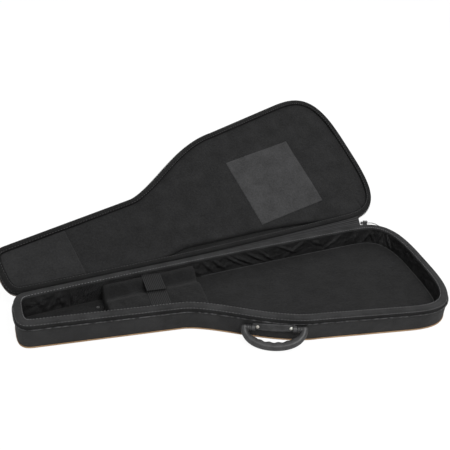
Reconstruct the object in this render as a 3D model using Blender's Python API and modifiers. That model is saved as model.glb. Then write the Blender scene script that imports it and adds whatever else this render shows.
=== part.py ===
"""Padded gig bag for an electric guitar, lying open on its back.

X runs along the bag, head end at -X and body end at +X. Y runs across it, with the hinge side at +Y and
the carrying handle at -Y. Z is up. The origin is on the back panel's underside, in the middle of the
length. The lid is built closed above the tray and turned open about the hinge's axis by its parent empty.
"""
import math

import bmesh
import bpy
import numpy as np
from mathutils import Matrix, Vector

# outline
LENGTH = 1.05
HEAD_HALF = 0.072
WAIST_HALF = 0.077
BODY_HALF = 0.184
TAIL_HALF = 0.214
FLARE_START = 0.36
FLARE_END = 0.65
FLARE_LEAD = 0.85
FAR_HEAD = 0.048
FAR_TAIL = 0.212
FAR_BOW = 0.008
HEAD_CORNER = 0.042
TAIL_CORNER_NEAR = 0.165
TAIL_CORNER_FAR = 0.150
CORNER_POWER = 3.3
CHORD_ERROR = 0.0007
STEP_MIN = 0.012
STEP_MAX = 0.048

# shell
CLEARANCE = 0.0003
RIM_HEIGHT = 0.0676
RIM_FALL = 0.0092
LID_DEPTH = 0.0320
COVER = 0.0025
PANEL_EDGE_INSET = 0.0035
PIPING_RADIUS = 0.0020
PIPING_INSET = 0.0012
PIPING_HEIGHT = 0.0032
BOARD = 0.0040
FOAM_WALL = 0.0120
LINING = 0.0020
PAD = 0.0070
BINDING = 0.0010
BINDING_SKIRT = 0.0080
BINDING_TOP = 0.0025
BINDING_ROUND = 0.0025
BINDING_SHOULDER = 0.0030
TAPE_WIDTH = 0.0105
COIL_RADIUS = 0.0018
COIL_DROP = 0.0165
COIL_RISE = 0.0010
COIL_LEVEL_RUN = 0.030
COIL_CLIMB_RUN = 0.050

# hinge
HINGE_HEAD_STATION = 0.125
HINGE_TAIL_STATION = 0.912
HINGE_OUT = 0.0030
HINGE_HEAD_DROP = 0.0105
HINGE_TAIL_RISE = 0.0080
LID_OPEN_DEG = 146.5
LEAF = 0.0008
LEAF_MARGIN = 0.012
LEAF_SEAT = 0.0001
LEAF_DROP = 0.0034

# inside
CRADLE_HEAD_STATION = 0.203
CRADLE_BODY_STATION = 0.430
CRADLE_FAR_TOP = 0.0550
CRADLE_NEAR_TOP = 0.0500
TROUGH_FLOOR = 0.0380
TROUGH_NEAR_HALF = 0.034
TROUGH_FAR_HALF = 0.030
TROUGH_STATION = 0.25
TROUGH_Y = 0.035
TROUGH_CUT = 0.30
STRAP_STATION = 0.3215
STRAP_WIDTH = 0.048
STRAP = 0.0018
STRAP_JOIN_Y = 0.0160
STRAP_OVERLAP = 0.032
STRAP_FROM_WALL = 0.0005
PATCH = 0.0012
PATCH_EDGE = 0.0030
TAB_LENGTH = 0.022
TAB_WIDTH = 0.012
TAB = 0.0014
TAB_Y = 0.030
STUD_RADIUS = 0.0036
STUD = 0.0016

# lid lining
LID_EDGE = 0.0075
LID_SKIRT = 0.0065
LID_RECESS = 0.0070
LID_FLEECE = 0.0030
LID_PATCH = 0.0012
LID_STRIP = 0.0215
LID_STRIP_OPENS = (0.34, 0.46)
LID_STRIP_CLOSES = (0.62, 0.93)
LID_PATCH_SIZE = 0.203
LID_PATCH_STATION = 0.746
LID_PATCH_Y = 0.0155
LID_PATCH_TURN = -0.5
LID_HEAD_PATCH_STATION = 0.181

# handle
HANDLE_STATION = 0.549
HANDLE_TILT_DEG = 3.5
PLATE_LENGTH = 0.105
PLATE_HEIGHT = 0.0205
PLATE_NARROWS = 0.28
PLATE = 0.0040
PLATE_END = 0.0015
PIVOT_HEIGHT = 0.0368
PIVOT_OUT = 0.0086
BOSS_RADIUS = 0.0068
BOSS_LENGTH = 0.0085
BARREL_LENGTH = 0.0235
BARREL_RADIUS = 0.0066
BARREL_RIB = 0.0008
BAIL_HALF_WIDTH = 0.0700
BAIL_REACH = 0.0440
BAIL_POWER = 2.1
BAIL_OFF_GROUND = 0.0008
ARM_RADIUS = 0.0070
GRIP_RADIUS = 0.0092
PIN_RADIUS = 0.0020
PIN_IN_BARREL = 0.0150
PIN_IN_BOSS = 0.0075
BARREL_RIBS = 4
ARM_ROOT = 0.0012
GRIP_STARTS = 0.35
GRIP_FULL = 0.85
RIVET_SPACING = 0.078
RIVET_RADIUS = 0.0015
RIVET_HEAD = 0.0044
RIVET_HEAD_HEIGHT = 0.0022
RIVET_TAIL = 0.0014
BACKING = 0.0015
BACKING_HEIGHT = 0.016
BACKING_END = 0.0040
POCKET_START = 0.0010

# zip sliders
SLIDER_LENGTH = 0.013
SLIDER_DEPTH = 0.0062
SLIDER_HEIGHT = 0.0120
SLIDER_BEVEL = 0.0012
SLIDER_FROM_STOP = 0.0010
STOP_LENGTH = 0.0040
STOP_WALL = 0.0012
EAR = 0.0016
EAR_LENGTH = 0.0052
EAR_REACH = 0.0034
EAR_ROOT = 0.0008
EAR_PIN_INSET = 0.0016
EAR_PIN_RADIUS = 0.0007
PULL_LENGTH = 0.024
PULL_WIDTH = 0.0062
PULL = 0.0014
PULL_EYE_RADIUS = 0.0016
PULL_HOLE_RADIUS = 0.0018
PULL_HOLE_INSET = 0.0050
CUT_THROUGH = 0.01

# colours, linear, with roughness and metallic
SHELL_CLOTH = ((0.026, 0.026, 0.028), 0.80, 0.0)
FLEECE = ((0.030, 0.030, 0.031), 0.95, 0.0)
LINING_CLOTH = ((0.020, 0.020, 0.021), 0.85, 0.0)
WEBBING = ((0.060, 0.060, 0.062), 0.80, 0.0)
HOOK_LOOP = ((0.012, 0.012, 0.013), 0.95, 0.0)
FOAM = ((0.050, 0.050, 0.052), 0.95, 0.0)
BOARD_GREY = ((0.090, 0.090, 0.090), 0.70, 0.0)
TAN = ((0.560, 0.360, 0.210), 0.65, 0.0)
COIL_BLACK = ((0.022, 0.022, 0.023), 0.45, 0.0)
MOULDED = ((0.050, 0.050, 0.052), 0.50, 0.0)
STEEL = ((0.640, 0.620, 0.580), 0.28, 1.0)
PALE_METAL = ((0.780, 0.740, 0.660), 0.30, 1.0)
PATCH_CLOTH = ((0.075, 0.075, 0.077), 0.90, 0.0)


def reset_scene():
    for item in list(bpy.data.objects):
        bpy.data.objects.remove(item, do_unlink=True)


def make_collection(name):
    collection = bpy.data.collections.new(name)
    bpy.context.scene.collection.children.link(collection)
    return collection


def material(name, look):
    colour, roughness, metallic = look
    made = bpy.data.materials.new(name)
    made.use_nodes = True
    shader = made.node_tree.nodes["Principled BSDF"]
    shader.inputs["Base Color"].default_value = (*colour, 1.0)
    shader.inputs["Roughness"].default_value = roughness
    shader.inputs["Metallic"].default_value = metallic
    made.diffuse_color = (*colour, 1.0)
    return made


def smooth(u):
    u = np.clip(u, 0.0, 1.0)
    return u * u * (3.0 - 2.0 * u)


def near_half(station):
    """Distance of the near wall from the middle line, before the corners are rounded."""
    neck = HEAD_HALF + (WAIST_HALF - HEAD_HALF) * np.minimum(station / FLARE_START, 1.0)
    share = np.clip((station - FLARE_START) / (FLARE_END - FLARE_START), 0.0, 1.0)
    body = (BODY_HALF - WAIST_HALF) * smooth(share ** FLARE_LEAD)
    tail = (TAIL_HALF - BODY_HALF) * np.clip((station - FLARE_END) / (1.0 - FLARE_END), 0.0, 1.0)
    return neck + body + tail


def far_line(station):
    """The straight line that the hinge side follows, before its bow."""
    return FAR_HEAD + (FAR_TAIL - FAR_HEAD) * station


def far_half(station):
    return far_line(station) + FAR_BOW * np.sin(math.pi * station)


def pinch(distance, corner):
    """Superellipse factor that draws a side in towards the end of the bag."""
    depth = np.clip(1.0 - distance / corner, 0.0, 1.0)
    return (1.0 - depth ** CORNER_POWER) ** (1.0 / CORNER_POWER)


class Outline:
    """Outline of the bag, counter-clockwise from the head end, with arc length stations."""

    def __init__(self):
        turn = np.linspace(0.0, math.pi, 2401)
        x = LENGTH * (0.5 - 0.5 * np.cos(turn))
        station = x / LENGTH
        near, far = -near_half(station), far_half(station)
        middle = 0.5 * (near + far)
        head = pinch(x, HEAD_CORNER)
        near = middle + (near - middle) * head * pinch(LENGTH - x, TAIL_CORNER_NEAR)
        far = middle + (far - middle) * head * pinch(LENGTH - x, TAIL_CORNER_FAR)
        x = x - LENGTH / 2
        loop = np.vstack([np.c_[x, near], np.c_[x[::-1], far[::-1]][1:]])
        self.x = x
        self.follow(loop)

    def follow(self, loop):
        """Sets the shared polygon's points closer together where the outline bends more."""
        gap = np.linalg.norm(np.diff(loop, axis=0), axis=1)
        self.u = np.r_[0.0, np.cumsum(gap)]
        self.total = self.u[-1]
        self.loop = loop
        even = np.linspace(0.0, self.total, 1601)
        p = self.on_curve(even[:-1])
        before, after = np.roll(p, 4, 0), np.roll(p, -4, 0)
        a, b = p - before, after - p
        bend = np.abs(np.arctan2(a[:, 0] * b[:, 1] - a[:, 1] * b[:, 0], (a * b).sum(1)))
        curvature = bend / (0.5 * (np.linalg.norm(a, axis=1) + np.linalg.norm(b, axis=1)))
        step = np.clip(np.sqrt(8 * CHORD_ERROR / np.maximum(curvature, 1e-6)), STEP_MIN, STEP_MAX)
        density = 1.0 / np.minimum(np.minimum(step, np.roll(step, 12)), np.roll(step, -12))
        measure = np.r_[0.0, np.cumsum(density * self.total / 1600)]
        share = np.linspace(0.0, measure[-1], int(math.ceil(measure[-1])) + 1)
        self.knots = np.interp(share, measure, even)
        self.ring = self.on_curve(self.knots[:-1])

    def on_curve(self, u):
        u = np.mod(u, self.total)
        return np.c_[np.interp(u, self.u, self.loop[:, 0]), np.interp(u, self.u, self.loop[:, 1])]

    def at(self, u):
        """Points on the polygon that every piece of the shell shares."""
        u = np.mod(u, self.total)
        closed = np.vstack([self.ring, self.ring[:1]])
        return np.c_[np.interp(u, self.knots, closed[:, 0]), np.interp(u, self.knots, closed[:, 1])]

    def near_u(self, station):
        half = len(self.x)
        return float(np.interp(station * LENGTH - LENGTH / 2, self.x, self.u[:half]))

    def far_u(self, station):
        half = len(self.x) - 1
        return float(np.interp(LENGTH / 2 - station * LENGTH, -self.x[::-1], self.u[half:]))

    def closed(self):
        return self.ring.copy()

    def run(self, start, end, extra=None):
        """Points from one arc length to another, counter-clockwise, both ends included."""
        if end <= start:
            end += self.total
        knots = np.r_[self.knots[:-1], self.knots[:-1] + self.total]
        inside = knots[(knots > start + 0.001) & (knots < end - 0.001)]
        if extra is not None:
            extra = np.where(extra < start, extra + self.total, extra)
            apart = np.abs(extra[:, None] - inside[None]).min(1) > 0.003
            inside = np.sort(np.r_[inside, extra[apart]])
        return self.at(np.r_[start, inside, end])

    def frame(self, u):
        """Point, forward tangent and outward normal at an arc length."""
        a, b = self.at(np.array([u - 0.002]))[0], self.at(np.array([u + 0.002]))[0]
        tangent = (b - a) / np.linalg.norm(b - a)
        return self.at(np.array([u]))[0], tangent, np.array([tangent[1], -tangent[0]])

    def width_at(self, x, inset):
        """Near and far y of the inner faces at one x."""
        half = self.u[len(self.x) - 1]
        near = self.at(np.linspace(0.0, half, 600))
        far = self.at(np.linspace(half, self.total - 1e-6, 600))[::-1]
        return (float(np.interp(x, near[:, 0], near[:, 1])) + inset,
                float(np.interp(x, far[:, 0], far[:, 1])) - inset)


OUT = Outline()


def offset(points, inset, closed=True):
    """Parallel outline, moved inwards, with mitred corners."""
    before = np.roll(points, 1, 0) if closed else np.vstack([points[:1], points[:-1]])
    after = np.roll(points, -1, 0) if closed else np.vstack([points[1:], points[-1:]])
    a, b = points - before, after - points
    if not closed:
        a[0], b[-1] = b[0], a[-1]
    a /= np.linalg.norm(a, axis=1)[:, None]
    b /= np.linalg.norm(b, axis=1)[:, None]
    na, nb = np.c_[a[:, 1], -a[:, 0]], np.c_[b[:, 1], -b[:, 0]]
    mitre = (na + nb) / (1.0 + (na * nb).sum(1))[:, None]
    return points - mitre * inset


def cut_across(points, low=None, high=None):
    """The part of a closed outline between two lines across the bag."""
    for limit, sign in ((low, 1.0), (high, -1.0)):
        if limit is None:
            continue
        kept = []
        inside = sign * (points[:, 0] - limit) >= 0.0
        for index in range(len(points)):
            here, other = points[index], points[index - 1]
            if inside[index] != inside[index - 1]:
                share = (limit - other[0]) / (here[0] - other[0])
                crossing = other + share * (here - other)
                if np.linalg.norm(crossing - here) > 0.0002 and np.linalg.norm(crossing - other) > 0.0002:
                    kept.append(crossing)
            if inside[index]:
                kept.append(here)
        points = np.array(kept)
    return points


def rim_shift(x):
    """How much higher than its middle value the rim stands at x."""
    return -RIM_FALL * np.asarray(x) / LENGTH


def lift_tray(mesh):
    """The wall's upper edge follows the rim's slope, its foot stays level."""
    for vertex in mesh.vertices:
        if vertex.co.z > RIM_HEIGHT / 2:
            vertex.co.z += float(rim_shift(vertex.co.x))


def lift_all(mesh):
    for vertex in mesh.vertices:
        vertex.co.z += float(rim_shift(vertex.co.x))


def mesh_from(source, name, look, collection):
    """Turns a curve object into a mesh object under its final name."""
    bpy.context.view_layer.update()
    depsgraph = bpy.context.evaluated_depsgraph_get()
    mesh = bpy.data.meshes.new_from_object(source.evaluated_get(depsgraph))
    placed = source.matrix_world.copy()
    work = bmesh.new()
    work.from_mesh(mesh)
    bmesh.ops.remove_doubles(work, verts=work.verts, dist=0.00002)
    bmesh.ops.recalc_face_normals(work, faces=work.faces)
    work.to_mesh(mesh)
    work.free()
    data = source.data
    bpy.data.objects.remove(source, do_unlink=True)
    bpy.data.curves.remove(data)
    mesh.name = name
    mesh.materials.clear()
    mesh.materials.append(material(name, look))
    made = bpy.data.objects.new(name, mesh)
    collection.objects.link(made)
    made.matrix_world = placed
    return made


def poly_curve(name, splines, dimensions, cyclic):
    curve = bpy.data.curves.new(name, "CURVE")
    curve.dimensions = dimensions
    curve.render_resolution_u = 0
    for points in splines:
        spline = curve.splines.new("POLY")
        spline.points.add(len(points) - 1)
        wide = np.zeros((len(points), 4))
        wide[:, : points.shape[1]] = points
        wide[:, 3] = 1.0
        spline.points.foreach_set("co", wide.ravel())
        spline.use_cyclic_u = cyclic
    return curve


def linked(name, data, collection):
    made = bpy.data.objects.new(name, data)
    collection.objects.link(made)
    return made


def clockwise(profile):
    profile = np.asarray(profile, dtype=float)
    x, y = profile[:, 0], profile[:, 1]
    area = 0.5 * np.sum(x * np.roll(y, -1) - y * np.roll(x, -1))
    return profile[::-1] if area > 0 else profile


def ring(name, profile, look, collection, lift=None):
    """A closed section, in inset and height, carried once round the whole outline."""
    section = poly_curve(name + "_section", [clockwise(profile)], "2D", True)
    section.fill_mode = "NONE"
    section_object = linked(name + "_section", section, collection)
    curve = poly_curve(name, [OUT.closed()], "2D", True)
    curve.fill_mode = "NONE"
    curve.bevel_mode = "OBJECT"
    curve.bevel_object = section_object
    made = mesh_from(linked(name, curve, collection), name, look, collection)
    bpy.data.objects.remove(section_object, do_unlink=True)
    bpy.data.curves.remove(section)
    if lift:
        lift(made.data)
    return made


def plate(name, loops, bottom, thickness, look, collection, lift=None):
    """A flat outline, with any holes as further loops, between two heights."""
    curve = poly_curve(name, loops, "2D", True)
    curve.fill_mode = "BOTH"
    curve.extrude = thickness / 2
    source = linked(name, curve, collection)
    source.location.z = bottom + thickness / 2
    made = mesh_from(source, name, look, collection)
    made.data.transform(made.matrix_world)
    made.matrix_world = Matrix.Identity(4)
    if lift:
        lift(made.data)
    return made


def strip(name, points, inset, thickness, bottom, height, look, collection, lift=None):
    """An upright band that follows an open run of the outline."""
    inner = offset(points, inset + thickness, closed=False)
    outer = offset(points, inset, closed=False)
    return plate(name, [np.vstack([outer, inner[::-1]])], bottom, height, look, collection, lift)


def tube(name, points, radius, look, collection, cyclic=False, radii=None, resolution=1):
    curve = poly_curve(name, [points], "3D", cyclic)
    curve.bevel_depth = radius
    curve.bevel_resolution = resolution
    curve.use_fill_caps = not cyclic
    curve.twist_mode = "Z_UP"
    if radii is not None:
        curve.splines[0].points.foreach_set("radius", np.asarray(radii, dtype=float))
    return mesh_from(linked(name, curve, collection), name, look, collection)


def cylinder(name, radius, start, end, look, collection, sides=24):
    """A round bar between two points of the present frame."""
    start, end = Vector(start), Vector(end)
    mesh = bpy.data.meshes.new(name)
    work = bmesh.new()
    bmesh.ops.create_cone(work, cap_ends=True, segments=sides, radius1=radius, radius2=radius,
                          depth=(end - start).length)
    turn = (end - start).to_track_quat("Z", "Y").to_matrix().to_4x4()
    bmesh.ops.transform(work, matrix=Matrix.Translation((start + end) / 2) @ turn, verts=work.verts)
    work.to_mesh(mesh)
    work.free()
    if look:
        mesh.materials.append(material(name, look))
    return linked(name, mesh, collection)


def box(name, low, high, look, collection, bevel=0.0):
    mesh = bpy.data.meshes.new(name)
    work = bmesh.new()
    size = Vector(high) - Vector(low)
    bmesh.ops.create_cube(work, size=1.0)
    bmesh.ops.scale(work, vec=size, verts=work.verts)
    bmesh.ops.translate(work, vec=(Vector(low) + Vector(high)) / 2, verts=work.verts)
    work.to_mesh(mesh)
    work.free()
    if look:
        mesh.materials.append(material(name, look))
    made = linked(name, mesh, collection)
    if bevel:
        rounding = made.modifiers.new("Edges", "BEVEL")
        rounding.width = bevel
        rounding.segments = 2
        rounding.limit_method = "ANGLE"
    return made


def turned(name, profile, look, collection, steps=24):
    """A profile of radius and height turned about Z, closed at both ends on the axis."""
    mesh = bpy.data.meshes.new(name)
    count = len(profile)
    mesh.from_pydata([(r, 0.0, z) for r, z in profile], [(i, i + 1) for i in range(count - 1)], [])
    if look:
        mesh.materials.append(material(name, look))
    made = linked(name, mesh, collection)
    screw = made.modifiers.new("Turn", "SCREW")
    screw.steps = steps
    screw.render_steps = steps
    screw.use_merge_vertices = True
    screw.merge_threshold = 0.00005
    return made


def combine(target, other, operation, scraps):
    """Boolean of two objects, the second kept as a guide."""
    step = target.modifiers.new(operation.title(), "BOOLEAN")
    step.operation = operation
    step.object = other
    for collection in list(other.users_collection):
        collection.objects.unlink(other)
    scraps.objects.link(other)
    other.hide_render = True
    other.display_type = "WIRE"


def bake(item):
    """Replaces an object's modifiers by their result."""
    bpy.context.view_layer.update()
    depsgraph = bpy.context.evaluated_depsgraph_get()
    mesh = bpy.data.meshes.new_from_object(item.evaluated_get(depsgraph))
    item.modifiers.clear()
    item.data = mesh
    return item


def smooth_round(item, angle=40.0):
    item.data.shade_smooth()
    item.data.set_sharp_from_angle(angle=math.radians(angle))


def to_local(item, frame):
    """Gives a piece built in world coordinates the given frame as its own, without moving it."""
    item.data.transform(frame.inverted())
    item.matrix_world = frame


def basis(x_axis, z_hint, origin):
    """Frame with its X axis along the given direction."""
    x_axis = Vector(x_axis).normalized()
    y_axis = Vector(z_hint).cross(x_axis).normalized()
    z_axis = x_axis.cross(y_axis)
    turn = Matrix((x_axis, y_axis, z_axis)).transposed().to_4x4()
    return Matrix.Translation(Vector(origin)) @ turn


def hinge_frame():
    """Frame of the lid's hinge: X runs along the axis from the head to the body end."""
    ends = []
    for station, rise in ((HINGE_HEAD_STATION, -HINGE_HEAD_DROP), (HINGE_TAIL_STATION, HINGE_TAIL_RISE)):
        x = station * LENGTH - LENGTH / 2
        y = float(far_line(station)) + FAR_BOW + HINGE_OUT
        ends.append(Vector((x, y, RIM_HEIGHT + CLEARANCE + float(rim_shift(x)) + rise)))
    return basis(ends[1] - ends[0], (0.0, 0.0, 1.0), (ends[0] + ends[1]) / 2), ends


def shell_ring_sections(top, sign, depth, wall, skirt):
    """Heights measured from the rim, so that the lid is the tray's mirror image."""
    def level(distance):
        return top + sign * distance
    outer = -CLEARANCE - BINDING
    inner = COVER + wall + LINING + 3 * CLEARANCE
    binding = [(-CLEARANCE, level(-skirt)), (outer, level(-skirt)),
               (outer, level(-BINDING_SHOULDER)), (outer + BINDING_ROUND, level(0.0)),
               (inner + BINDING - BINDING_ROUND, level(0.0)), (inner + BINDING, level(-BINDING_SHOULDER)),
               (inner + BINDING, level(-skirt)), (inner, level(-skirt)),
               (inner, level(-BINDING_TOP)), (-CLEARANCE, level(-BINDING_TOP))]
    foot = depth - (COVER + CLEARANCE + BOARD + CLEARANCE)
    under = -BINDING_TOP - CLEARANCE
    piping_top = PIPING_HEIGHT + PIPING_RADIUS
    cover = [(0.0, level(under)), (0.0, level(piping_top + CLEARANCE - depth)),
             (COVER, level(piping_top + CLEARANCE - depth)), (COVER, level(under))]
    inset = COVER + CLEARANCE
    foam = [(inset, level(under)), (inset, level(-foot)),
            (inset + wall, level(-foot)), (inset + wall, level(under))]
    return binding, cover, foam


def build_tray(bag):
    """The standing half of the bag. Returns the floor's height and how far it keeps from the outline."""
    outline = OUT.closed()
    top = RIM_HEIGHT
    binding, cover, foam = shell_ring_sections(top, 1.0, RIM_HEIGHT, FOAM_WALL, BINDING_SKIRT)
    panel = [offset(outline, PANEL_EDGE_INSET)]
    plate("tray_back_panel", panel, 0.0, COVER, SHELL_CLOTH, bag)
    board_bottom = COVER + CLEARANCE
    plate("tray_base_board", panel, board_bottom, BOARD, BOARD_GREY, bag)
    piping_line = np.c_[offset(outline, PIPING_INSET), np.full(len(outline), PIPING_HEIGHT)]
    smooth_round(tube("tray_piping", piping_line, PIPING_RADIUS, TAN, bag, cyclic=True), 80)
    ring("tray_side_cover", cover, SHELL_CLOTH, bag, lift_tray)
    ring("tray_foam_wall", foam, FOAM, bag, lift_tray)
    pad_bottom = board_bottom + BOARD + CLEARANCE
    inner = COVER + FOAM_WALL + 2 * CLEARANCE
    under = top - BINDING_TOP - CLEARANCE
    lining = [(inner, under), (inner, pad_bottom), (inner + LINING, pad_bottom), (inner + LINING, under)]
    ring("tray_wall_lining", lining, LINING_CLOTH, bag, lift_tray)
    ring("tray_rim_binding", binding, SHELL_CLOTH, bag, lift_tray)

    floor_inset = inner + LINING + CLEARANCE
    split = CRADLE_BODY_STATION * LENGTH - LENGTH / 2
    floor = offset(outline, floor_inset)
    plate("body_floor_pad", [cut_across(floor, low=split + CLEARANCE)], pad_bottom, PAD, FLEECE, bag)
    plate("neck_floor_pad", [cut_across(floor, high=split)], pad_bottom, PAD, FLEECE, bag)
    return pad_bottom + PAD, floor_inset


def trough_frame():
    """Frame of the neck trough: X along it, parallel to the hinge side."""
    slope = (FAR_TAIL - FAR_HEAD) / LENGTH
    origin = (TROUGH_STATION * LENGTH - LENGTH / 2, TROUGH_Y, 0.0)
    return basis((1.0, slope, 0.0), (0.0, 0.0, 1.0), origin)


def build_cradle(bag, scraps, floor, inset):
    """Padded block with a shallow trough for the neck."""
    x0 = CRADLE_HEAD_STATION * LENGTH - LENGTH / 2
    x1 = CRADLE_BODY_STATION * LENGTH - LENGTH / 2
    loop = cut_across(offset(OUT.closed(), inset), x0, x1)
    bottom = floor + CLEARANCE
    block = plate("neck_cradle", [loop], bottom, CRADLE_FAR_TOP - bottom, FLEECE, bag)
    profile = [(-TROUGH_CUT, CRADLE_NEAR_TOP)]
    for share in np.linspace(-1.0, 1.0, 11):
        high, reach = (CRADLE_NEAR_TOP, TROUGH_NEAR_HALF) if share < 0 else (CRADLE_FAR_TOP, TROUGH_FAR_HALF)
        rise = (high - TROUGH_FLOOR) * (1.0 - math.cos(math.pi * share)) / 2
        profile.append((share * reach, TROUGH_FLOOR + rise))
    profile[-1] = (TROUGH_FAR_HALF + LINING, CRADLE_FAR_TOP + BINDING)
    profile += [(TROUGH_FAR_HALF + LINING, 2 * CRADLE_FAR_TOP), (-TROUGH_CUT, 2 * CRADLE_FAR_TOP)]
    curve = poly_curve("trough_cutter", [np.asarray(profile)], "2D", True)
    curve.fill_mode = "BOTH"
    curve.extrude = LENGTH / 4
    source = linked("trough_cutter", curve, bag)
    source.matrix_world = trough_frame() @ Matrix(((0, 0, 1, 0), (1, 0, 0, 0), (0, 1, 0, 0), (0, 0, 0, 1)))
    cutter = mesh_from(source, "trough_cutter", FLEECE, bag)
    combine(block, cutter, "DIFFERENCE", scraps)


def build_strap(bag, floor, inset):
    """Two webbing halves over the trough, joined by hook and loop, and the tab beside the cradle."""
    middle = STRAP_STATION * LENGTH - LENGTH / 2
    x0, x1 = middle - STRAP_WIDTH / 2, middle + STRAP_WIDTH / 2
    near = max(OUT.width_at(x, inset)[0] for x in (x0, x1)) + STRAP_FROM_WALL
    far = min(OUT.width_at(x, inset)[1] for x in (x0, x1)) - STRAP_FROM_WALL
    level = CRADLE_NEAR_TOP + CLEARANCE
    overlap = STRAP_JOIN_Y + STRAP_OVERLAP
    box("strap_lower_half", (x0, near, level), (x1, overlap, level + STRAP), WEBBING, bag)
    level += STRAP + CLEARANCE
    edge = PATCH_EDGE
    box("strap_loop_patch", (x0 + edge, STRAP_JOIN_Y + edge, level),
        (x1 - edge, overlap - edge, level + PATCH), HOOK_LOOP, bag)
    level += PATCH + CLEARANCE
    hook = box("strap_hook_patch", (x0 + edge, STRAP_JOIN_Y + edge, level),
               (x1 - edge, overlap - edge, level + PATCH), HOOK_LOOP, bag)
    level += PATCH + CLEARANCE
    upper = box("strap_upper_half", (x0, STRAP_JOIN_Y, level), (x1, far, level + STRAP), WEBBING, bag)
    root = Vector((middle, far, level + STRAP))
    for item in (hook, upper):
        to_local(item, Matrix.Translation(root))

    x2 = CRADLE_HEAD_STATION * LENGTH - LENGTH / 2 - CLEARANCE
    low = floor + CLEARANCE
    box("pull_tab", (x2 - TAB_LENGTH, TAB_Y - TAB_WIDTH / 2, low), (x2, TAB_Y + TAB_WIDTH / 2, low + TAB),
        WEBBING, bag)
    stud_x = x2 - TAB_LENGTH + TAB_WIDTH / 2
    seat = low + TAB + CLEARANCE
    stud = cylinder("pull_tab_stud", STUD_RADIUS, (stud_x, TAB_Y, seat), (stud_x, TAB_Y, seat + STUD), STEEL,
                    bag, 20)
    smooth_round(stud)


def zip_run():
    """Arc lengths of the zip, from the hinge's head end over the near side to its body end."""
    return OUT.far_u(HINGE_HEAD_STATION), OUT.far_u(HINGE_TAIL_STATION)


def coil_line(climbs, sign, top):
    """Centre line of a coil; the tray's climbs to the rim near the hinge's body end."""
    head, tail = zip_run()
    marks = COIL_LEVEL_RUN + COIL_CLIMB_RUN * np.array([0.0, 0.25, 0.5, 0.75, 1.0])
    points = OUT.run(head, tail, tail - marks if climbs else None)
    length = np.r_[0.0, np.cumsum(np.linalg.norm(np.diff(points, axis=0), axis=1))]
    from_end = length[-1] - length
    height = np.full(len(points), -COIL_DROP)
    if climbs:
        share = smooth((from_end - COIL_LEVEL_RUN) / COIL_CLIMB_RUN)
        height = COIL_RISE - (COIL_RISE + COIL_DROP) * share
    line = offset(points, -(CLEARANCE + BINDING + CLEARANCE + COIL_RADIUS), closed=False)
    return np.c_[line, top + sign * height + rim_shift(line[:, 0])]


def build_zip(bag):
    """Tapes and coils of both halves. Returns the lid's."""
    head, tail = zip_run()
    run = OUT.run(head, tail)
    level = RIM_HEIGHT
    strip("tray_zip_tape", run, -CLEARANCE - BINDING, BINDING, level - BINDING_SKIRT - CLEARANCE - TAPE_WIDTH,
          TAPE_WIDTH, SHELL_CLOTH, bag, lift_all)
    smooth_round(tube("tray_zip_coil", coil_line(True, 1.0, level), COIL_RADIUS, COIL_BLACK, bag), 80)
    level = RIM_HEIGHT + 2 * CLEARANCE
    tape = strip("lid_zip_tape", run, -CLEARANCE - BINDING, BINDING, level + LID_SKIRT + CLEARANCE,
                 TAPE_WIDTH, SHELL_CLOTH, bag, lift_all)
    coil = tube("lid_zip_coil", coil_line(False, -1.0, level), COIL_RADIUS, COIL_BLACK, bag)
    smooth_round(coil, 80)
    return [tape, coil]


def slider_frame(u, outward, level):
    """Frame on the coil at a level over the rim: X along it away from the stop, Y out of the wall, Z up."""
    point, tangent, normal = OUT.frame(u)
    out = CLEARANCE + BINDING + CLEARANCE + COIL_RADIUS
    spot = point + normal * out
    ahead = Vector((tangent[0], tangent[1], 0.0)) * outward
    rise = -RIM_FALL / LENGTH * ahead.x
    ahead = Vector((ahead.x, ahead.y, rise)).normalized()
    z = RIM_HEIGHT + level + float(rim_shift(spot[0]))
    side = Vector((normal[0], normal[1], 0.0))
    up = ahead.cross(side)
    if up.z < 0:
        up = -up
    turn = Matrix((ahead, side, up)).transposed().to_4x4()
    return Matrix.Translation((spot[0], spot[1], z)) @ turn


def place(item, frame):
    """Moves a piece built at the origin into a frame, keeping its faces outward in a mirrored one."""
    if frame.to_3x3().determinant() < 0:
        item.data.transform(Matrix.Diagonal((1.0, 1.0, -1.0, 1.0)))
        item.data.flip_normals()
        frame = frame @ Matrix.Diagonal((1.0, 1.0, -1.0, 1.0))
    item.matrix_world = frame
    return item


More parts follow.
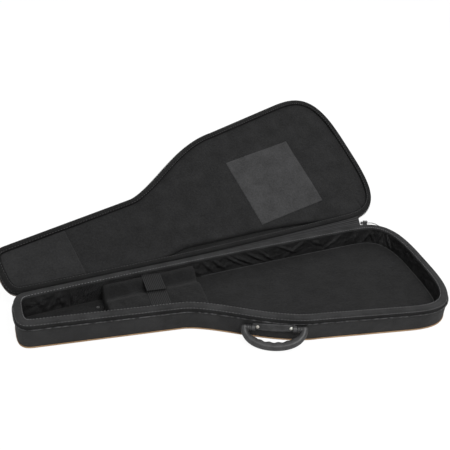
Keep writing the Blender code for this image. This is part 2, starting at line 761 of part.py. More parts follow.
def build_slider(side, u, outward, level, bag, scraps):
    """A slider that straddles the coil, its pull, which hangs outside the wall, and the coil's end stop."""
    stop_frame = slider_frame(u + outward * (STOP_LENGTH / 2 + CLEARANCE), outward, level)
    hole = COIL_RADIUS + CLEARANCE
    reach = SLIDER_DEPTH - hole
    stop = box("zip_stop_" + side, (-STOP_LENGTH / 2, -COIL_RADIUS, -hole - STOP_WALL),
               (STOP_LENGTH / 2, hole + STOP_WALL, hole + STOP_WALL), STEEL, bag)
    bore = cylinder("stop_cutter_" + side, hole, (-STOP_LENGTH, 0.0, 0.0), (STOP_LENGTH, 0.0, 0.0),
                    None, bag, 16)
    mouth = box("stop_mouth_" + side, (-STOP_LENGTH, -CUT_THROUGH, -hole), (STOP_LENGTH, 0.0, hole),
                None, bag)
    combine(stop, bore, "DIFFERENCE", scraps)
    combine(stop, mouth, "DIFFERENCE", scraps)
    bake(stop)
    place(stop, stop_frame)

    centre = STOP_LENGTH + 2 * CLEARANCE + SLIDER_FROM_STOP + SLIDER_LENGTH / 2
    frame = slider_frame(u + outward * centre, outward, level)
    body = box("zip_slider_" + side, (-SLIDER_LENGTH / 2, -COIL_RADIUS, -SLIDER_HEIGHT / 2),
               (SLIDER_LENGTH / 2, reach, SLIDER_HEIGHT / 2), STEEL, bag, bevel=SLIDER_BEVEL)
    bore = cylinder("slider_cutter_" + side, hole, (-SLIDER_LENGTH, 0.0, 0.0), (SLIDER_LENGTH, 0.0, 0.0),
                    None, bag, 16)
    mouth = box("slider_mouth_" + side, (-SLIDER_LENGTH, -CUT_THROUGH, -hole), (SLIDER_LENGTH, 0.0, hole),
                None, bag)
    combine(body, bore, "DIFFERENCE", scraps)
    combine(body, mouth, "DIFFERENCE", scraps)
    span = PULL_WIDTH / 2 + CLEARANCE
    for index, sign in enumerate((-1.0, 1.0)):
        low, high = sorted((sign * span, sign * (span + EAR)))
        ear = box("ear_%s_%d" % (side, index), (low, reach - EAR_ROOT, -EAR_LENGTH / 2),
                  (high, reach + EAR_REACH, EAR_LENGTH / 2), None, bag)
        combine(body, ear, "UNION", scraps)
    pin_y = reach + EAR_REACH - EAR_PIN_INSET
    pin_end = span + EAR / 2
    pin = cylinder("ear_pin_" + side, EAR_PIN_RADIUS, (-pin_end, pin_y, 0.0), (pin_end, pin_y, 0.0),
                   None, bag, 12)
    combine(body, pin, "UNION", scraps)
    bake(body)

    half = PULL_WIDTH / 2
    pull = cylinder("zip_pull_" + side, PULL_EYE_RADIUS, (-half, 0.0, 0.0), (half, 0.0, 0.0), STEEL, bag, 16)
    blade = box("pull_blade_" + side, (-half, -PULL / 2, -PULL_LENGTH), (half, PULL / 2, 0.0), None, bag)
    combine(pull, blade, "UNION", scraps)
    eye = cylinder("pull_bore_" + side, EAR_PIN_RADIUS + CLEARANCE, (-CUT_THROUGH, 0.0, 0.0),
                   (CUT_THROUGH, 0.0, 0.0), None, bag, 12)
    combine(pull, eye, "DIFFERENCE", scraps)
    hole_z = PULL_HOLE_INSET - PULL_LENGTH
    grip_hole = cylinder("pull_hole_" + side, PULL_HOLE_RADIUS, (0.0, -CUT_THROUGH, hole_z),
                         (0.0, CUT_THROUGH, hole_z), None, bag, 16)
    combine(pull, grip_hole, "DIFFERENCE", scraps)
    bake(pull)
    place(body, frame)
    place(pull, frame @ Matrix.Translation((0.0, pin_y, 0.0)))


def handle_frame():
    """Frame at the middle of the handle's pivot axis, which climbs towards the body end: Y into the wall."""
    centre = OUT.near_u(HANDLE_STATION)
    a = OUT.at(np.array([centre - PLATE_LENGTH / 2]))[0]
    b = OUT.at(np.array([centre + PLATE_LENGTH / 2]))[0]
    along = (b - a) / np.linalg.norm(b - a)
    out = np.array([along[1], -along[0]])
    middle = (a + b) / 2 + out * PIVOT_OUT
    along = (along[0], along[1], math.tan(math.radians(HANDLE_TILT_DEG)))
    return basis(along, (0.0, 0.0, 1.0), (middle[0], middle[1], PIVOT_HEIGHT)), centre


def shape_plate(mesh):
    """Tilts a plate like the pivot axis and narrows it towards its ends."""
    frame, _ = handle_frame()
    along = frame.col[0].xy.normalized()
    slope = math.tan(math.radians(HANDLE_TILT_DEG))
    for vertex in mesh.vertices:
        away = (vertex.co.xy - frame.translation.xy).dot(along)
        share = 1.0 - PLATE_NARROWS * (2 * away / PLATE_LENGTH) ** 2
        vertex.co.z = PIVOT_HEIGHT + (vertex.co.z - PIVOT_HEIGHT) * share + slope * away


def bail_droop():
    """Angle below level at which the grip rests on the ground."""
    return math.asin((PIVOT_HEIGHT - GRIP_RADIUS - BAIL_OFF_GROUND) / BAIL_REACH)


def build_handle(bag, scraps):
    """Mount plate, backing plate, rivets, pivot pins and the swinging bail."""
    frame, centre = handle_frame()
    reach = PLATE_LENGTH / 2 - PLATE_END
    run = OUT.run(centre - reach, centre + reach)
    low = PIVOT_HEIGHT - PLATE_HEIGHT / 2
    mount = strip("handle_plate", run, -CLEARANCE - PLATE, PLATE, low, PLATE_HEIGHT, MOULDED, bag,
                  shape_plate)
    half = PLATE_LENGTH / 2
    backing_reach = half - BACKING_END
    backing_run = OUT.run(centre - backing_reach, centre + backing_reach)
    backing_inset = COVER + CLEARANCE
    backing_low = PIVOT_HEIGHT - BACKING_HEIGHT / 2
    strip("handle_backing_plate", backing_run, backing_inset, BACKING, backing_low, BACKING_HEIGHT, STEEL,
          bag, shape_plate)
    depth = backing_inset + BACKING + RIVET_TAIL
    pocket_run = OUT.run(centre - backing_reach - CLEARANCE, centre + backing_reach + CLEARANCE)
    pocket = strip("pocket_cutter", pocket_run, POCKET_START, depth - POCKET_START + 2 * CLEARANCE,
                   backing_low - CLEARANCE, BACKING_HEIGHT + 2 * CLEARANCE, FOAM, bag, shape_plate)
    combine(bag.objects["tray_foam_wall"], pocket, "DIFFERENCE", scraps)
    for index, sign in enumerate((-1.0, 1.0)):
        inner, outer = sign * (half - BOSS_LENGTH), sign * half
        boss_ends = [frame @ Vector((place, 0, 0)) for place in (inner, outer)]
        boss = cylinder("boss_%d" % index, BOSS_RADIUS, *boss_ends, None, bag, 20)
        combine(mount, boss, "UNION", scraps)
        side = "left" if sign < 0 else "right"
        root = outer - sign * PIN_IN_BOSS
        start = frame @ Vector((root, 0, 0))
        end = frame @ Vector((sign * (half + PIN_IN_BARREL), 0, 0))
        pin = cylinder("handle_pin_" + side, PIN_RADIUS, start, end, STEEL, bag, 16)
        to_local(pin, Matrix.Translation((start + end) / 2))
        smooth_round(pin)
        bore_start = frame @ Vector((root - sign * CLEARANCE, 0, 0))
        bore = cylinder("pin_bore_%d" % index, PIN_RADIUS + CLEARANCE, bore_start, end, None, bag, 16)
        combine(mount, bore, "DIFFERENCE", scraps)
    for index, sign in enumerate((-1.0, 1.0)):
        side = "left" if sign < 0 else "right"
        point, _, normal = OUT.frame(centre + sign * RIVET_SPACING / 2)
        rise = sign * RIVET_SPACING / 2 * math.tan(math.radians(HANDLE_TILT_DEG))
        spot = Vector((point[0], point[1], PIVOT_HEIGHT + rise))
        out = Vector((normal[0], normal[1], 0.0))
        seat = CLEARANCE + PLATE + CLEARANCE
        hole = cylinder("rivet_hole_%d" % index, RIVET_RADIUS + CLEARANCE, spot + out * CUT_THROUGH,
                        spot - out * CUT_THROUGH, None, bag, 16)
        for target in ("handle_plate", "tray_side_cover", "handle_backing_plate"):
            combine(bag.objects[target], hole, "DIFFERENCE", scraps)
        profile = [(0.0, seat + RIVET_HEAD_HEIGHT)]
        for share in (0.35, 0.65, 0.88):
            profile.append((RIVET_HEAD * share, seat + RIVET_HEAD_HEIGHT * math.sqrt(1.0 - share ** 2)))
        profile += [(RIVET_HEAD, seat), (RIVET_RADIUS, seat)]
        profile += [(RIVET_RADIUS, -depth), (0.0, -depth)]
        rivet = turned("handle_rivet_" + side, profile, PALE_METAL, bag, 20)
        bake(rivet)
        rivet.matrix_world = Matrix.Translation(spot) @ out.to_track_quat("Z", "Y").to_matrix().to_4x4()
        smooth_round(rivet)

    droop = bail_droop()
    turn = np.linspace(-0.05, 1.05, 31) * math.pi
    power = 2.0 / BAIL_POWER
    u = BAIL_HALF_WIDTH * np.sign(np.cos(turn)) * np.abs(np.cos(turn)) ** power
    w = -BAIL_REACH * np.sign(np.sin(turn)) * np.abs(np.sin(turn)) ** power
    inside = (turn > 0) & (turn < math.pi)
    keep = np.r_[0, np.flatnonzero(inside), len(turn) - 1]
    u, w = u[keep], w[keep]
    u[0], w[0], u[-1], w[-1] = BAIL_HALF_WIDTH, ARM_ROOT, -BAIL_HALF_WIDTH, ARM_ROOT
    share = smooth((np.abs(w) / BAIL_REACH - GRIP_STARTS) / (GRIP_FULL - GRIP_STARTS))
    radii = (ARM_RADIUS + (GRIP_RADIUS - ARM_RADIUS) * share) / ARM_RADIUS
    path = np.c_[u, w, np.zeros(len(u))]
    bail = tube("handle_bail", path, ARM_RADIUS, MOULDED, bag, radii=radii, resolution=2)
    start = half + CLEARANCE
    for index, sign in enumerate((-1.0, 1.0)):
        profile = [(0.0, BARREL_LENGTH)]
        pitch = BARREL_LENGTH / BARREL_RIBS
        for rib in range(BARREL_RIBS, -1, -1):
            profile.append((BARREL_RADIUS, pitch * rib))
            if rib:
                profile.append((BARREL_RADIUS + BARREL_RIB, pitch * (rib - 0.35)))
                profile.append((BARREL_RADIUS + BARREL_RIB, pitch * (rib - 0.65)))
        profile.append((0.0, 0.0))
        barrel = turned("barrel_%d" % index, profile, None, bag, 20)
        bake(barrel)
        axis = Vector((sign, 0.0, 0.0))
        turn = axis.to_track_quat("Z", "Y").to_matrix().to_4x4()
        barrel.matrix_world = Matrix.Translation(axis * start) @ turn
        combine(bail, barrel, "UNION", scraps)
    for index, sign in enumerate((-1.0, 1.0)):
        bore_ends = [(sign * x, 0.0, 0.0) for x in (half - PIN_RADIUS, half + PIN_IN_BARREL + 2 * CLEARANCE)]
        bore = cylinder("bail_bore_%d" % index, PIN_RADIUS + CLEARANCE, *bore_ends, None, bag, 16)
        combine(bail, bore, "DIFFERENCE", scraps)
    bake(bail)
    bail.matrix_world = frame @ Matrix.Rotation(droop, 4, "X")
    smooth_round(bail, 50)


def lift_leaf(mesh, ends, side):
    """Lets one edge of a leaf follow its binding's outer face and the other the hinge's axis.

    side is -1 for the tray's leaf and 1 for the lid's, which is built closed above it.
    """
    start, way = ends[0].xy, (ends[1] - ends[0]).xy
    for vertex in mesh.vertices:
        arm = vertex.co.xy - start
        if abs(arm.cross(way.normalized())) < 2 * CLEARANCE:
            share = arm.dot(way) / way.length_squared
            shift = -HINGE_HEAD_DROP + (HINGE_HEAD_DROP + HINGE_TAIL_RISE) * share
        else:
            shift = side * LEAF_DROP
        vertex.co.z += shift + float(rim_shift(vertex.co.x))


def build_leaves(bag, ends):
    """The two fabric leaves of the hinge, each from its own binding to the hinge's axis."""
    run = OUT.run(OUT.far_u(HINGE_TAIL_STATION) + LEAF_MARGIN, OUT.far_u(HINGE_HEAD_STATION) - LEAF_MARGIN)
    outer = offset(run, -CLEARANCE - BINDING - LEAF_SEAT, closed=False)
    direction = np.array([ends[1].x - ends[0].x, ends[1].y - ends[0].y])
    direction /= np.linalg.norm(direction)
    base = np.array([ends[0].x, ends[0].y]) + np.array([direction[1], -direction[0]]) * CLEARANCE
    axis_side = base + ((outer - base) @ direction)[:, None] * direction
    loop = np.vstack([outer, axis_side[::-1]])
    plate("hinge_leaf_tray", [loop], RIM_HEIGHT - CLEARANCE - LEAF, LEAF, SHELL_CLOTH, bag,
          lambda mesh: lift_leaf(mesh, ends, -1))
    top = RIM_HEIGHT + 3 * CLEARANCE
    return plate("hinge_leaf_lid", [loop], top, LEAF, SHELL_CLOTH, bag, lambda mesh: lift_leaf(mesh, ends, 1))


def lid_panel_outline(outline, inset):
    """The lining's outline, drawn in along the hinge side to leave a groove over the body."""
    points = offset(outline, inset)
    station = points[:, 0] / LENGTH + 0.5
    opened, closed = (smooth((station - start) / (end - start))
                      for start, end in (LID_STRIP_OPENS, LID_STRIP_CLOSES))
    narrow = LID_STRIP * opened * (1.0 - closed)
    limit = far_half(np.clip(station, 0.0, 1.0)) - inset - narrow
    points[:, 1] = np.minimum(points[:, 1], limit)
    return points


def build_lid(bag):
    """The lid, built closed above the tray."""
    outline = OUT.closed()
    top = RIM_HEIGHT + 2 * CLEARANCE
    binding, cover, foam = shell_ring_sections(top, -1.0, LID_DEPTH, LID_EDGE, LID_SKIRT)
    pieces = []
    panel = [offset(outline, PANEL_EDGE_INSET)]
    face_low = top + LID_DEPTH - COVER
    pieces.append(plate("lid_face_cover", panel, face_low, COVER, SHELL_CLOTH, bag, lift_all))
    sheet_low = face_low - CLEARANCE - BOARD
    pieces.append(plate("lid_foam_sheet", panel, sheet_low, BOARD, FOAM, bag, lift_all))
    line = offset(outline, PIPING_INSET)
    line = np.c_[line, top + LID_DEPTH - PIPING_HEIGHT + rim_shift(line[:, 0])]
    piping = tube("lid_piping", line, PIPING_RADIUS, TAN, bag, cyclic=True)
    smooth_round(piping, 80)
    pieces.append(piping)
    pieces.append(ring("lid_side_cover", cover, SHELL_CLOTH, bag, lift_all))
    pieces.append(ring("lid_edge_foam", foam, FOAM, bag, lift_all))
    pieces.append(ring("lid_rim_binding", binding, SHELL_CLOTH, bag, lift_all))
    inset = COVER + LID_EDGE + 2 * CLEARANCE
    liner = lid_panel_outline(outline, inset)
    fleece_low = top + LID_RECESS
    pad_low = fleece_low + LID_FLEECE + CLEARANCE
    pieces.append(plate("lid_lining", [liner], fleece_low, LID_FLEECE, FLEECE, bag, lift_all))
    pieces.append(plate("lid_pad", [liner], pad_low, sheet_low - CLEARANCE - pad_low, FOAM, bag, lift_all))
    patch_low = fleece_low - CLEARANCE - LID_PATCH
    half = LID_PATCH_SIZE / 2
    centre = np.array([LID_PATCH_STATION * LENGTH - LENGTH / 2, LID_PATCH_Y])
    turn = math.radians(LID_PATCH_TURN)
    corners = np.array([(-half, -half), (half, -half), (half, half), (-half, half)])
    spin = np.array([[math.cos(turn), -math.sin(turn)], [math.sin(turn), math.cos(turn)]])
    pieces.append(plate("lid_square_patch", [corners @ spin.T + centre], patch_low, LID_PATCH, PATCH_CLOTH,
                        bag, lift_all))
    inner = offset(outline, COVER + LID_EDGE + LINING + BINDING + 5 * CLEARANCE)
    head_loop = cut_across(inner, high=LID_HEAD_PATCH_STATION * LENGTH - LENGTH / 2)
    pieces.append(plate("lid_head_patch", [head_loop], patch_low, LID_PATCH, PATCH_CLOTH, bag, lift_all))
    return pieces


def main():
    reset_scene()
    bag = make_collection("guitar_gig_bag")
    scraps = make_collection("cutters")
    floor, inset = build_tray(bag)
    build_cradle(bag, scraps, floor, inset)
    build_strap(bag, floor, inset)
    frame, ends = hinge_frame()
    lid_pieces = build_lid(bag)
    lid_pieces += build_zip(bag)
    lid_pieces.append(build_leaves(bag, ends))
    head, tail = zip_run()
    build_slider("left", head, 1.0, -COIL_DROP, bag, scraps)
    build_slider("right", tail, -1.0, COIL_RISE, bag, scraps)
    build_handle(bag, scraps)

    hinge = bpy.data.objects.new("lid_hinge", None)
    bag.objects.link(hinge)
    hinge.matrix_world = frame
    bpy.context.view_layer.update()
    for piece in lid_pieces:
        to_local(piece, frame)
        piece.parent = hinge
        piece.matrix_parent_inverse = Matrix.Identity(4)
        piece.matrix_basis = Matrix.Identity(4)
    hinge.matrix_world = frame @ Matrix.Rotation(math.radians(-LID_OPEN_DEG), 4, "X")
    bpy.context.view_layer.update()


main()
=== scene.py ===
"""Looks of a padded gig bag for an electric guitar that lies open on its back.

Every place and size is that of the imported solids, held here as fields in metres. The visible surfaces are
worked out as numpy grids that follow the bag's own outline, its rim and its hinge, and are dressed with
procedural finishes.
"""

import logging
import math
from dataclasses import dataclass, field
from enum import Enum
from typing import Callable, Optional, Sequence

import bmesh
import bpy
import numpy as np
from mathutils import Matrix, Vector


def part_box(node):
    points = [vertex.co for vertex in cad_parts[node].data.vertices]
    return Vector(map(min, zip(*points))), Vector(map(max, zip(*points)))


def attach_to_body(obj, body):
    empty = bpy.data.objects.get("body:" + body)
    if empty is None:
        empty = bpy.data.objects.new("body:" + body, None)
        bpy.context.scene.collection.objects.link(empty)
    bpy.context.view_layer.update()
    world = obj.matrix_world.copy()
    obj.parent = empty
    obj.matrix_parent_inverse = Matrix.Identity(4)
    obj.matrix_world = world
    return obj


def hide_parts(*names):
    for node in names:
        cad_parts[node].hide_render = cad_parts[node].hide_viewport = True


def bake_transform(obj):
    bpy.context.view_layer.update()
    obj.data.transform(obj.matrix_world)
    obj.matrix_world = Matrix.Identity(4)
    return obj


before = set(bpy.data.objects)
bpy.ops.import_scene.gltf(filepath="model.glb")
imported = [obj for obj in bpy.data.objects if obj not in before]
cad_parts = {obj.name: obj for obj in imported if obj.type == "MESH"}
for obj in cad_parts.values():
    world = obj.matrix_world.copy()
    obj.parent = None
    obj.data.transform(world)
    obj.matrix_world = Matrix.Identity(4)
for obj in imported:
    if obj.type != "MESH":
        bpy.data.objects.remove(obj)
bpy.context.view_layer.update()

LOG = logging.getLogger("gig_bag")
Array = np.ndarray
Relief = Callable[[Array, Array], Array]
Colour = tuple[float, float, float]
Point = tuple[float, float, float]


class Half(Enum):
    """The two halves of the shell."""

    TRAY = "tray"
    LID = "lid"


def smooth(value: Array) -> Array:
    """Smoothstep, three squares less two cubes of the clipped value."""
    value = np.clip(value, 0.0, 1.0)
    return value * value * (3.0 - 2.0 * value)


def unit(rows: Array) -> Array:
    """Rows divided by their own length."""
    return rows / np.linalg.norm(rows, axis=-1, keepdims=True)


def full_turn(count: int) -> Array:
    """Angles once round in even steps, without the last, which is the first again."""
    return np.linspace(0.0, 2 * math.pi, count, endpoint=False)


def super_power(value: Array, power: float) -> Array:
    """Superellipse coordinate: a cosine's or sine's size to a power, with its sign kept."""
    return np.sign(value) * np.abs(value) ** power


def top_and_bottom(top: Array, bottom: Array) -> Array:
    """Rows that run across a top and back under it, so that each is a closed loop."""
    return np.concatenate([top, bottom[:, ::-1]], 1)


def waves(x: Array, y: Array, size: float, seed: int, count: int = 9) -> Array:
    """Soft unevenness: the mean of plane sine waves with seeded headings, lengths and phases.

    Args:
        x: First coordinate, in metres.
        y: Second coordinate, in metres.
        size: Usual wave length, in metres.
        seed: Seed of the headings.
        count: Number of waves.

    Returns:
        Values of about -1 to 1, in the shape of x.
    """
    rng = np.random.default_rng(seed)
    total = np.zeros(np.broadcast(x, y).shape)
    for heading, stretch, phase in rng.uniform((0, 0.6, 0), (2 * math.pi, 1.7, 2 * math.pi), (count, 3)):
        rate = 2 * math.pi * stretch / size
        total = total + np.sin(rate * (x * math.cos(heading) + y * math.sin(heading)) + phase)
    return total / math.sqrt(2.0 * count)


@dataclass(frozen=True)
class Ripple:
    """One scale of unevenness: its height, usual wave length, seed and stretch of the second coordinate."""

    height: float
    size: float
    seed: int
    stretch: float = 1.0


def uneven(x: Array, y: Array, ripples: Sequence[Ripple]) -> Array:
    """Sum of waves, each times its ripple's height."""
    return sum(ripple.height * waves(x, y * ripple.stretch, ripple.size, ripple.seed) for ripple in ripples)


@dataclass
class Track:
    """A run along the outline: arc length, place in plan and outward normal at each step."""

    arc: Array
    place: Array
    normal: Array


@dataclass
class BagOutline:
    """Plan outline of the bag, counter-clockwise from the head end, in metres.

    The near side is a neck, a smoothstep flare and a straight tail. The far side is a straight line with a
    small bow. Both are drawn together at the two ends by a superellipse.
    """

    length: float = 1.05
    head_half: float = 0.072
    waist_half: float = 0.077
    body_half: float = 0.184
    tail_half: float = 0.214
    flare_start: float = 0.36
    flare_end: float = 0.65
    flare_lead: float = 0.85
    far_head: float = 0.048
    far_tail: float = 0.212
    far_bow: float = 0.008
    head_corner: float = 0.042
    tail_corner_near: float = 0.165
    tail_corner_far: float = 0.150
    corner_power: float = 3.3
    rim_fall: float = 0.0092
    samples: int = 2401
    side_samples: int = 1600
    heading_reach: float = 0.004
    arc: Array = field(init=False)
    loop: Array = field(init=False)

    def __post_init__(self) -> None:
        """Samples both sides at cosine-spaced stations and joins them into one loop."""
        turn = np.linspace(0.0, math.pi, self.samples)
        x = self.length * (0.5 - 0.5 * np.cos(turn))
        station = x / self.length
        neck = self.head_half + (self.waist_half - self.head_half) * np.minimum(station / self.flare_start, 1)
        share = np.clip((station - self.flare_start) / (self.flare_end - self.flare_start), 0, 1)
        flare = (self.body_half - self.waist_half) * smooth(share ** self.flare_lead)
        tail = np.clip((station - self.flare_end) / (1 - self.flare_end), 0, 1)
        near = -(neck + flare + (self.tail_half - self.body_half) * tail)
        far = self.far_line(station) + self.far_bow * np.sin(math.pi * station)
        middle = 0.5 * (near + far)
        head = self._pinch(x, self.head_corner)
        near = middle + (near - middle) * head * self._pinch(self.length - x, self.tail_corner_near)
        far = middle + (far - middle) * head * self._pinch(self.length - x, self.tail_corner_far)
        x = x - self.length / 2
        self.loop = np.vstack([np.c_[x, near], np.c_[x[::-1], far[::-1]][1:]])
        self.arc = np.r_[0.0, np.cumsum(np.linalg.norm(np.diff(self.loop, axis=0), axis=1))]

    def _pinch(self, distance: Array, corner: float) -> Array:
        """Superellipse factor that goes from 0 at an end to 1 at the corner's length from it."""
        depth = np.clip(1.0 - distance / corner, 0.0, 1.0)
        return (1.0 - depth ** self.corner_power) ** (1.0 / self.corner_power)

    def far_line(self, station: Array) -> Array:
        """The straight line that the hinge side follows, before its bow."""
        return self.far_head + (self.far_tail - self.far_head) * station

    @property
    def total(self) -> float:
        """Length once round."""
        return float(self.arc[-1])

    def x_of(self, station: float) -> float:
        """Place along the bag of a share of its length."""
        return station * self.length - self.length / 2

    def rim_shift(self, x: Array) -> Array:
        """How much higher than in the middle the rim stands, since the wall is taller at the head."""
        return -self.rim_fall * x / self.length

    def near_arc(self, station: float) -> float:
        """Arc length at which the near side passes a station."""
        return float(np.interp(self.x_of(station), self.loop[: self.samples, 0], self.arc[: self.samples]))

    def far_arc(self, station: float) -> float:
        """Arc length at which the far side passes a station."""
        half = self.samples - 1
        return float(np.interp(-self.x_of(station), -self.loop[half:, 0], self.arc[half:]))

    def at(self, arc: Array) -> Array:
        """Places in plan at arc lengths, which wrap round."""
        arc = np.mod(arc, self.total)
        return np.stack([np.interp(arc, self.arc, self.loop[:, axis]) for axis in (0, 1)], -1)

    def track(self, arc: Array) -> Track:
        """Places and outward normals at arc lengths, from central differences."""
        heading = unit(self.at(arc + self.heading_reach) - self.at(arc - self.heading_reach))
        return Track(arc, self.at(arc), np.stack([heading[:, 1], -heading[:, 0]], 1))

    def ring(self, count: int) -> Track:
        """Even steps once round."""
        return self.track(np.linspace(0.0, self.total, count, endpoint=False))

    def run(self, start: float, end: float, count: int) -> Track:
        """Even steps from one arc length on to another.

        Args:
            start: First arc length.
            end: Last arc length; before start, it lies in the next round.
            count: Number of steps.

        Returns:
            The run, open at both ends.
        """
        if end <= start:
            end += self.total
        return self.track(np.linspace(start, end, count))

    def sides(self, inset: float) -> tuple[Array, Array, Array, Array]:
        """The parallel outline at an inset, split at its ends.

        Args:
            inset: Distance inwards, in metres.

        Returns:
            x and y of the near side, then x and y of the far side, each in rising x.
        """
        ring = self.ring(self.side_samples)
        inner = ring.place - ring.normal * inset
        first, last = int(np.argmin(inner[:, 0])), int(np.argmax(inner[:, 0]))
        rolled = np.roll(inner, -first, 0)
        split = (last - first) % len(inner)
        near, far = rolled[: split + 1], np.vstack([rolled[split:], rolled[:1]])[::-1]
        return near[:, 0], near[:, 1], far[:, 0], far[:, 1]


@dataclass
class Shell:
    """Heights of the shell, and how a local height becomes a place in either half.

    A local height is measured from the rim plane and is negative inside its own half. The lid's half is the
    mirror image of the tray's above the rim plane, turned open about the hinge's axis.
    """

    outline: BagOutline
    rim: float = 0.0676
    gap: float = 0.0003
    lid_depth: float = 0.0320
    hinge_out: float = 0.0030
    hinge_head: float = 0.125
    hinge_tail: float = 0.912
    hinge_head_drop: float = 0.0105
    hinge_tail_rise: float = 0.0080
    lid_open: float = math.radians(146.5)
    wall_low: float = 0.0070
    slope_below_rim: float = 0.0030

    def hinge_ends(self) -> tuple[Array, Array]:
        """Two points on the hinge's axis.

        Returns:
            Its head end and its body end.
        """
        def end(station: float, rise: float) -> Array:
            """The axis at a station, at a rise above the rim there.

            Args:
                station: Share of the bag's length.
                rise: Height over the rim.

            Returns:
                The point.
            """
            x = self.outline.x_of(station)
            y = self.outline.far_line(station) + self.outline.far_bow + self.hinge_out
            return np.array([x, y, self.rim + self.gap + self.outline.rim_shift(x) + rise])

        return end(self.hinge_head, -self.hinge_head_drop), end(self.hinge_tail, self.hinge_tail_rise)

    def open_lid(self, points: Array) -> Array:
        """Turns closed places open about the hinge's axis, by Rodrigues' formula.

        Args:
            points: Array that ends in xyz, with the lid shut.

        Returns:
            The same points, with the lid open.
        """
        start, end = self.hinge_ends()
        axis = unit(end - start)
        arm = points - start
        cosine, sine = math.cos(-self.lid_open), math.sin(-self.lid_open)
        along = (arm @ axis)[..., None] * axis
        return start + arm * cosine + np.cross(axis, arm) * sine + along * (1 - cosine)

    def place(self, points: Array, half: Half) -> Array:
        """World places of points in plan with local heights.

        Args:
            points: Array that ends in x, y and local height.
            half: Which half they belong to.

        Returns:
            World places. In the tray the rim's slope fades to nothing at the foot of the wall.
        """
        points = np.array(points, dtype=float)
        shift = self.outline.rim_shift(points[..., 0])
        if half is Half.LID:
            points[..., 2] = self.rim + 2 * self.gap - points[..., 2] + shift
            return self.open_lid(points)
        height = self.rim + points[..., 2]
        full = self.rim - self.slope_below_rim
        share = np.clip((height - self.wall_low) / (full - self.wall_low), 0.0, 1.0)
        points[..., 2] = height + shift * share
        return points

    def carry(self, track: Track, inset: Array, height: Array, half: Half) -> Array:
        """A section of insets and local heights carried along a track, as a grid of places.

        Args:
            track: Run along the outline.
            inset: Insets of the section, for all rows or for each.
            height: Local heights of the section, for all rows or for each.
            half: Which half they belong to.

        Returns:
            Places by row and column.
        """
        rows = len(track.arc)
        inset = np.broadcast_to(inset, (rows, np.shape(inset)[-1]))
        height = np.broadcast_to(height, inset.shape)
        plan = track.place[:, None] - track.normal[:, None] * inset[..., None]
        return self.place(np.concatenate([plan, height[..., None]], -1), half)

    def line(self, track: Track, inset: Array | float, height: Array | float, half: Half) -> Array:
        """Places along a track at one inset and local height, or at one of each for every step."""
        inset, height = (np.broadcast_to(value, track.arc.shape)[:, None] for value in (inset, height))
        return self.carry(track, inset, height, half)[:, 0]


def volume(places: Array, faces: Array) -> float:
    """Signed volume inside quads, each split into two triangles from its first corner."""
    a, b, c, d = (places[faces[:, k]] for k in range(4))
    return float((a * (np.cross(b, c) + np.cross(c, d))).sum() / 6)


def new_object(name: str, data: bpy.types.ID) -> bpy.types.Object:
    """An object of a mesh, a light or a camera, linked to the scene.

    Args:
        name: Name of the object.
        data: What it shows.

    Returns:
        The new object.
    """
    made = bpy.data.objects.new(name, data)
    bpy.context.scene.collection.objects.link(made)
    return made


def grid_piece(name: str, grid: Array, along: bool, slab_caps: bool = False,
               sharp: float = 50.0) -> bpy.types.Object:
    """A mesh object from a grid of places, with outward faces and a UV map in metres.

    Each row is a closed loop. The UV map's u is the length walked from row to row, and its v the length
    walked along a row.

    Args:
        name: Name of the object.
        grid: Array of rows, columns and xyz.
        along: Whether the last row joins the first.
        slab_caps: Whether both ends, each a top and a bottom of equal count, are closed by quads.
        sharp: Angle in degrees above which an edge is sharp.

    Returns:
        The new object.
    """
    rows, columns = grid.shape[:2]
    places = grid.reshape(-1, 3)
    ii, jj = np.meshgrid(np.arange(rows if along else rows - 1), np.arange(columns), indexing="ij")
    up, right = (ii + 1) % rows, (jj + 1) % columns
    faces = np.stack([ii * columns + jj, up * columns + jj, up * columns + right, ii * columns + right], -1)
    faces = faces.reshape(-1, 4)
    step_u = np.linalg.norm(np.roll(grid, -1, 0) - grid, axis=2).mean(1)
    step_v = np.linalg.norm(np.roll(grid, -1, 1) - grid, axis=2).mean(0)
    u, v = np.r_[0.0, np.cumsum(step_u)], np.r_[0.0, np.cumsum(step_v)]
    corners = ((u[ii], v[jj]), (u[ii + 1], v[jj]), (u[ii + 1], v[jj + 1]), (u[ii], v[jj + 1]))
    uv = np.stack([np.stack(corner, -1) for corner in corners], 2).reshape(-1, 4, 2)
    if slab_caps and not along:
        half = columns // 2
        k = np.arange(half - 1)
        first = np.stack([k, k + 1, columns - 2 - k, columns - 1 - k], -1)
        last = (first + (rows - 1) * columns)[:, ::-1]
        caps = np.vstack([first, last])
        faces = np.vstack([faces, caps])
        uv = np.vstack([uv, places[caps][..., 1:]])
    if volume(places, faces) < 0:
        faces, uv = faces[:, ::-1], uv[:, ::-1]
    mesh = bpy.data.meshes.new(name)
    mesh.from_pydata(places, [], faces)
    layer = mesh.uv_layers.new(name="UVMap")
    layer.data.foreach_set("uv", np.ascontiguousarray(uv, dtype=np.float32).ravel())
    if not along and not slab_caps:
        cap_ends(mesh, rows, columns)
    return finish_mesh(name, mesh, sharp)


def cap_ends(mesh: bpy.types.Mesh, rows: int, columns: int) -> None:
    """Closes the two open ends of a tube with flat faces that point outwards.

    Args:
        mesh: The tube.
        rows: Number of its rings.
        columns: Corners of each ring.
    """
    work = bmesh.new()
    work.from_mesh(mesh)
    work.verts.ensure_lookup_table()
    for start in (0, (rows - 1) * columns):
        work.faces.new([work.verts[start + k] for k in range(columns)])
    bmesh.ops.remove_doubles(work, verts=work.verts, dist=1e-6)
    bmesh.ops.recalc_face_normals(work, faces=work.faces)
    work.to_mesh(mesh)
    work.free()


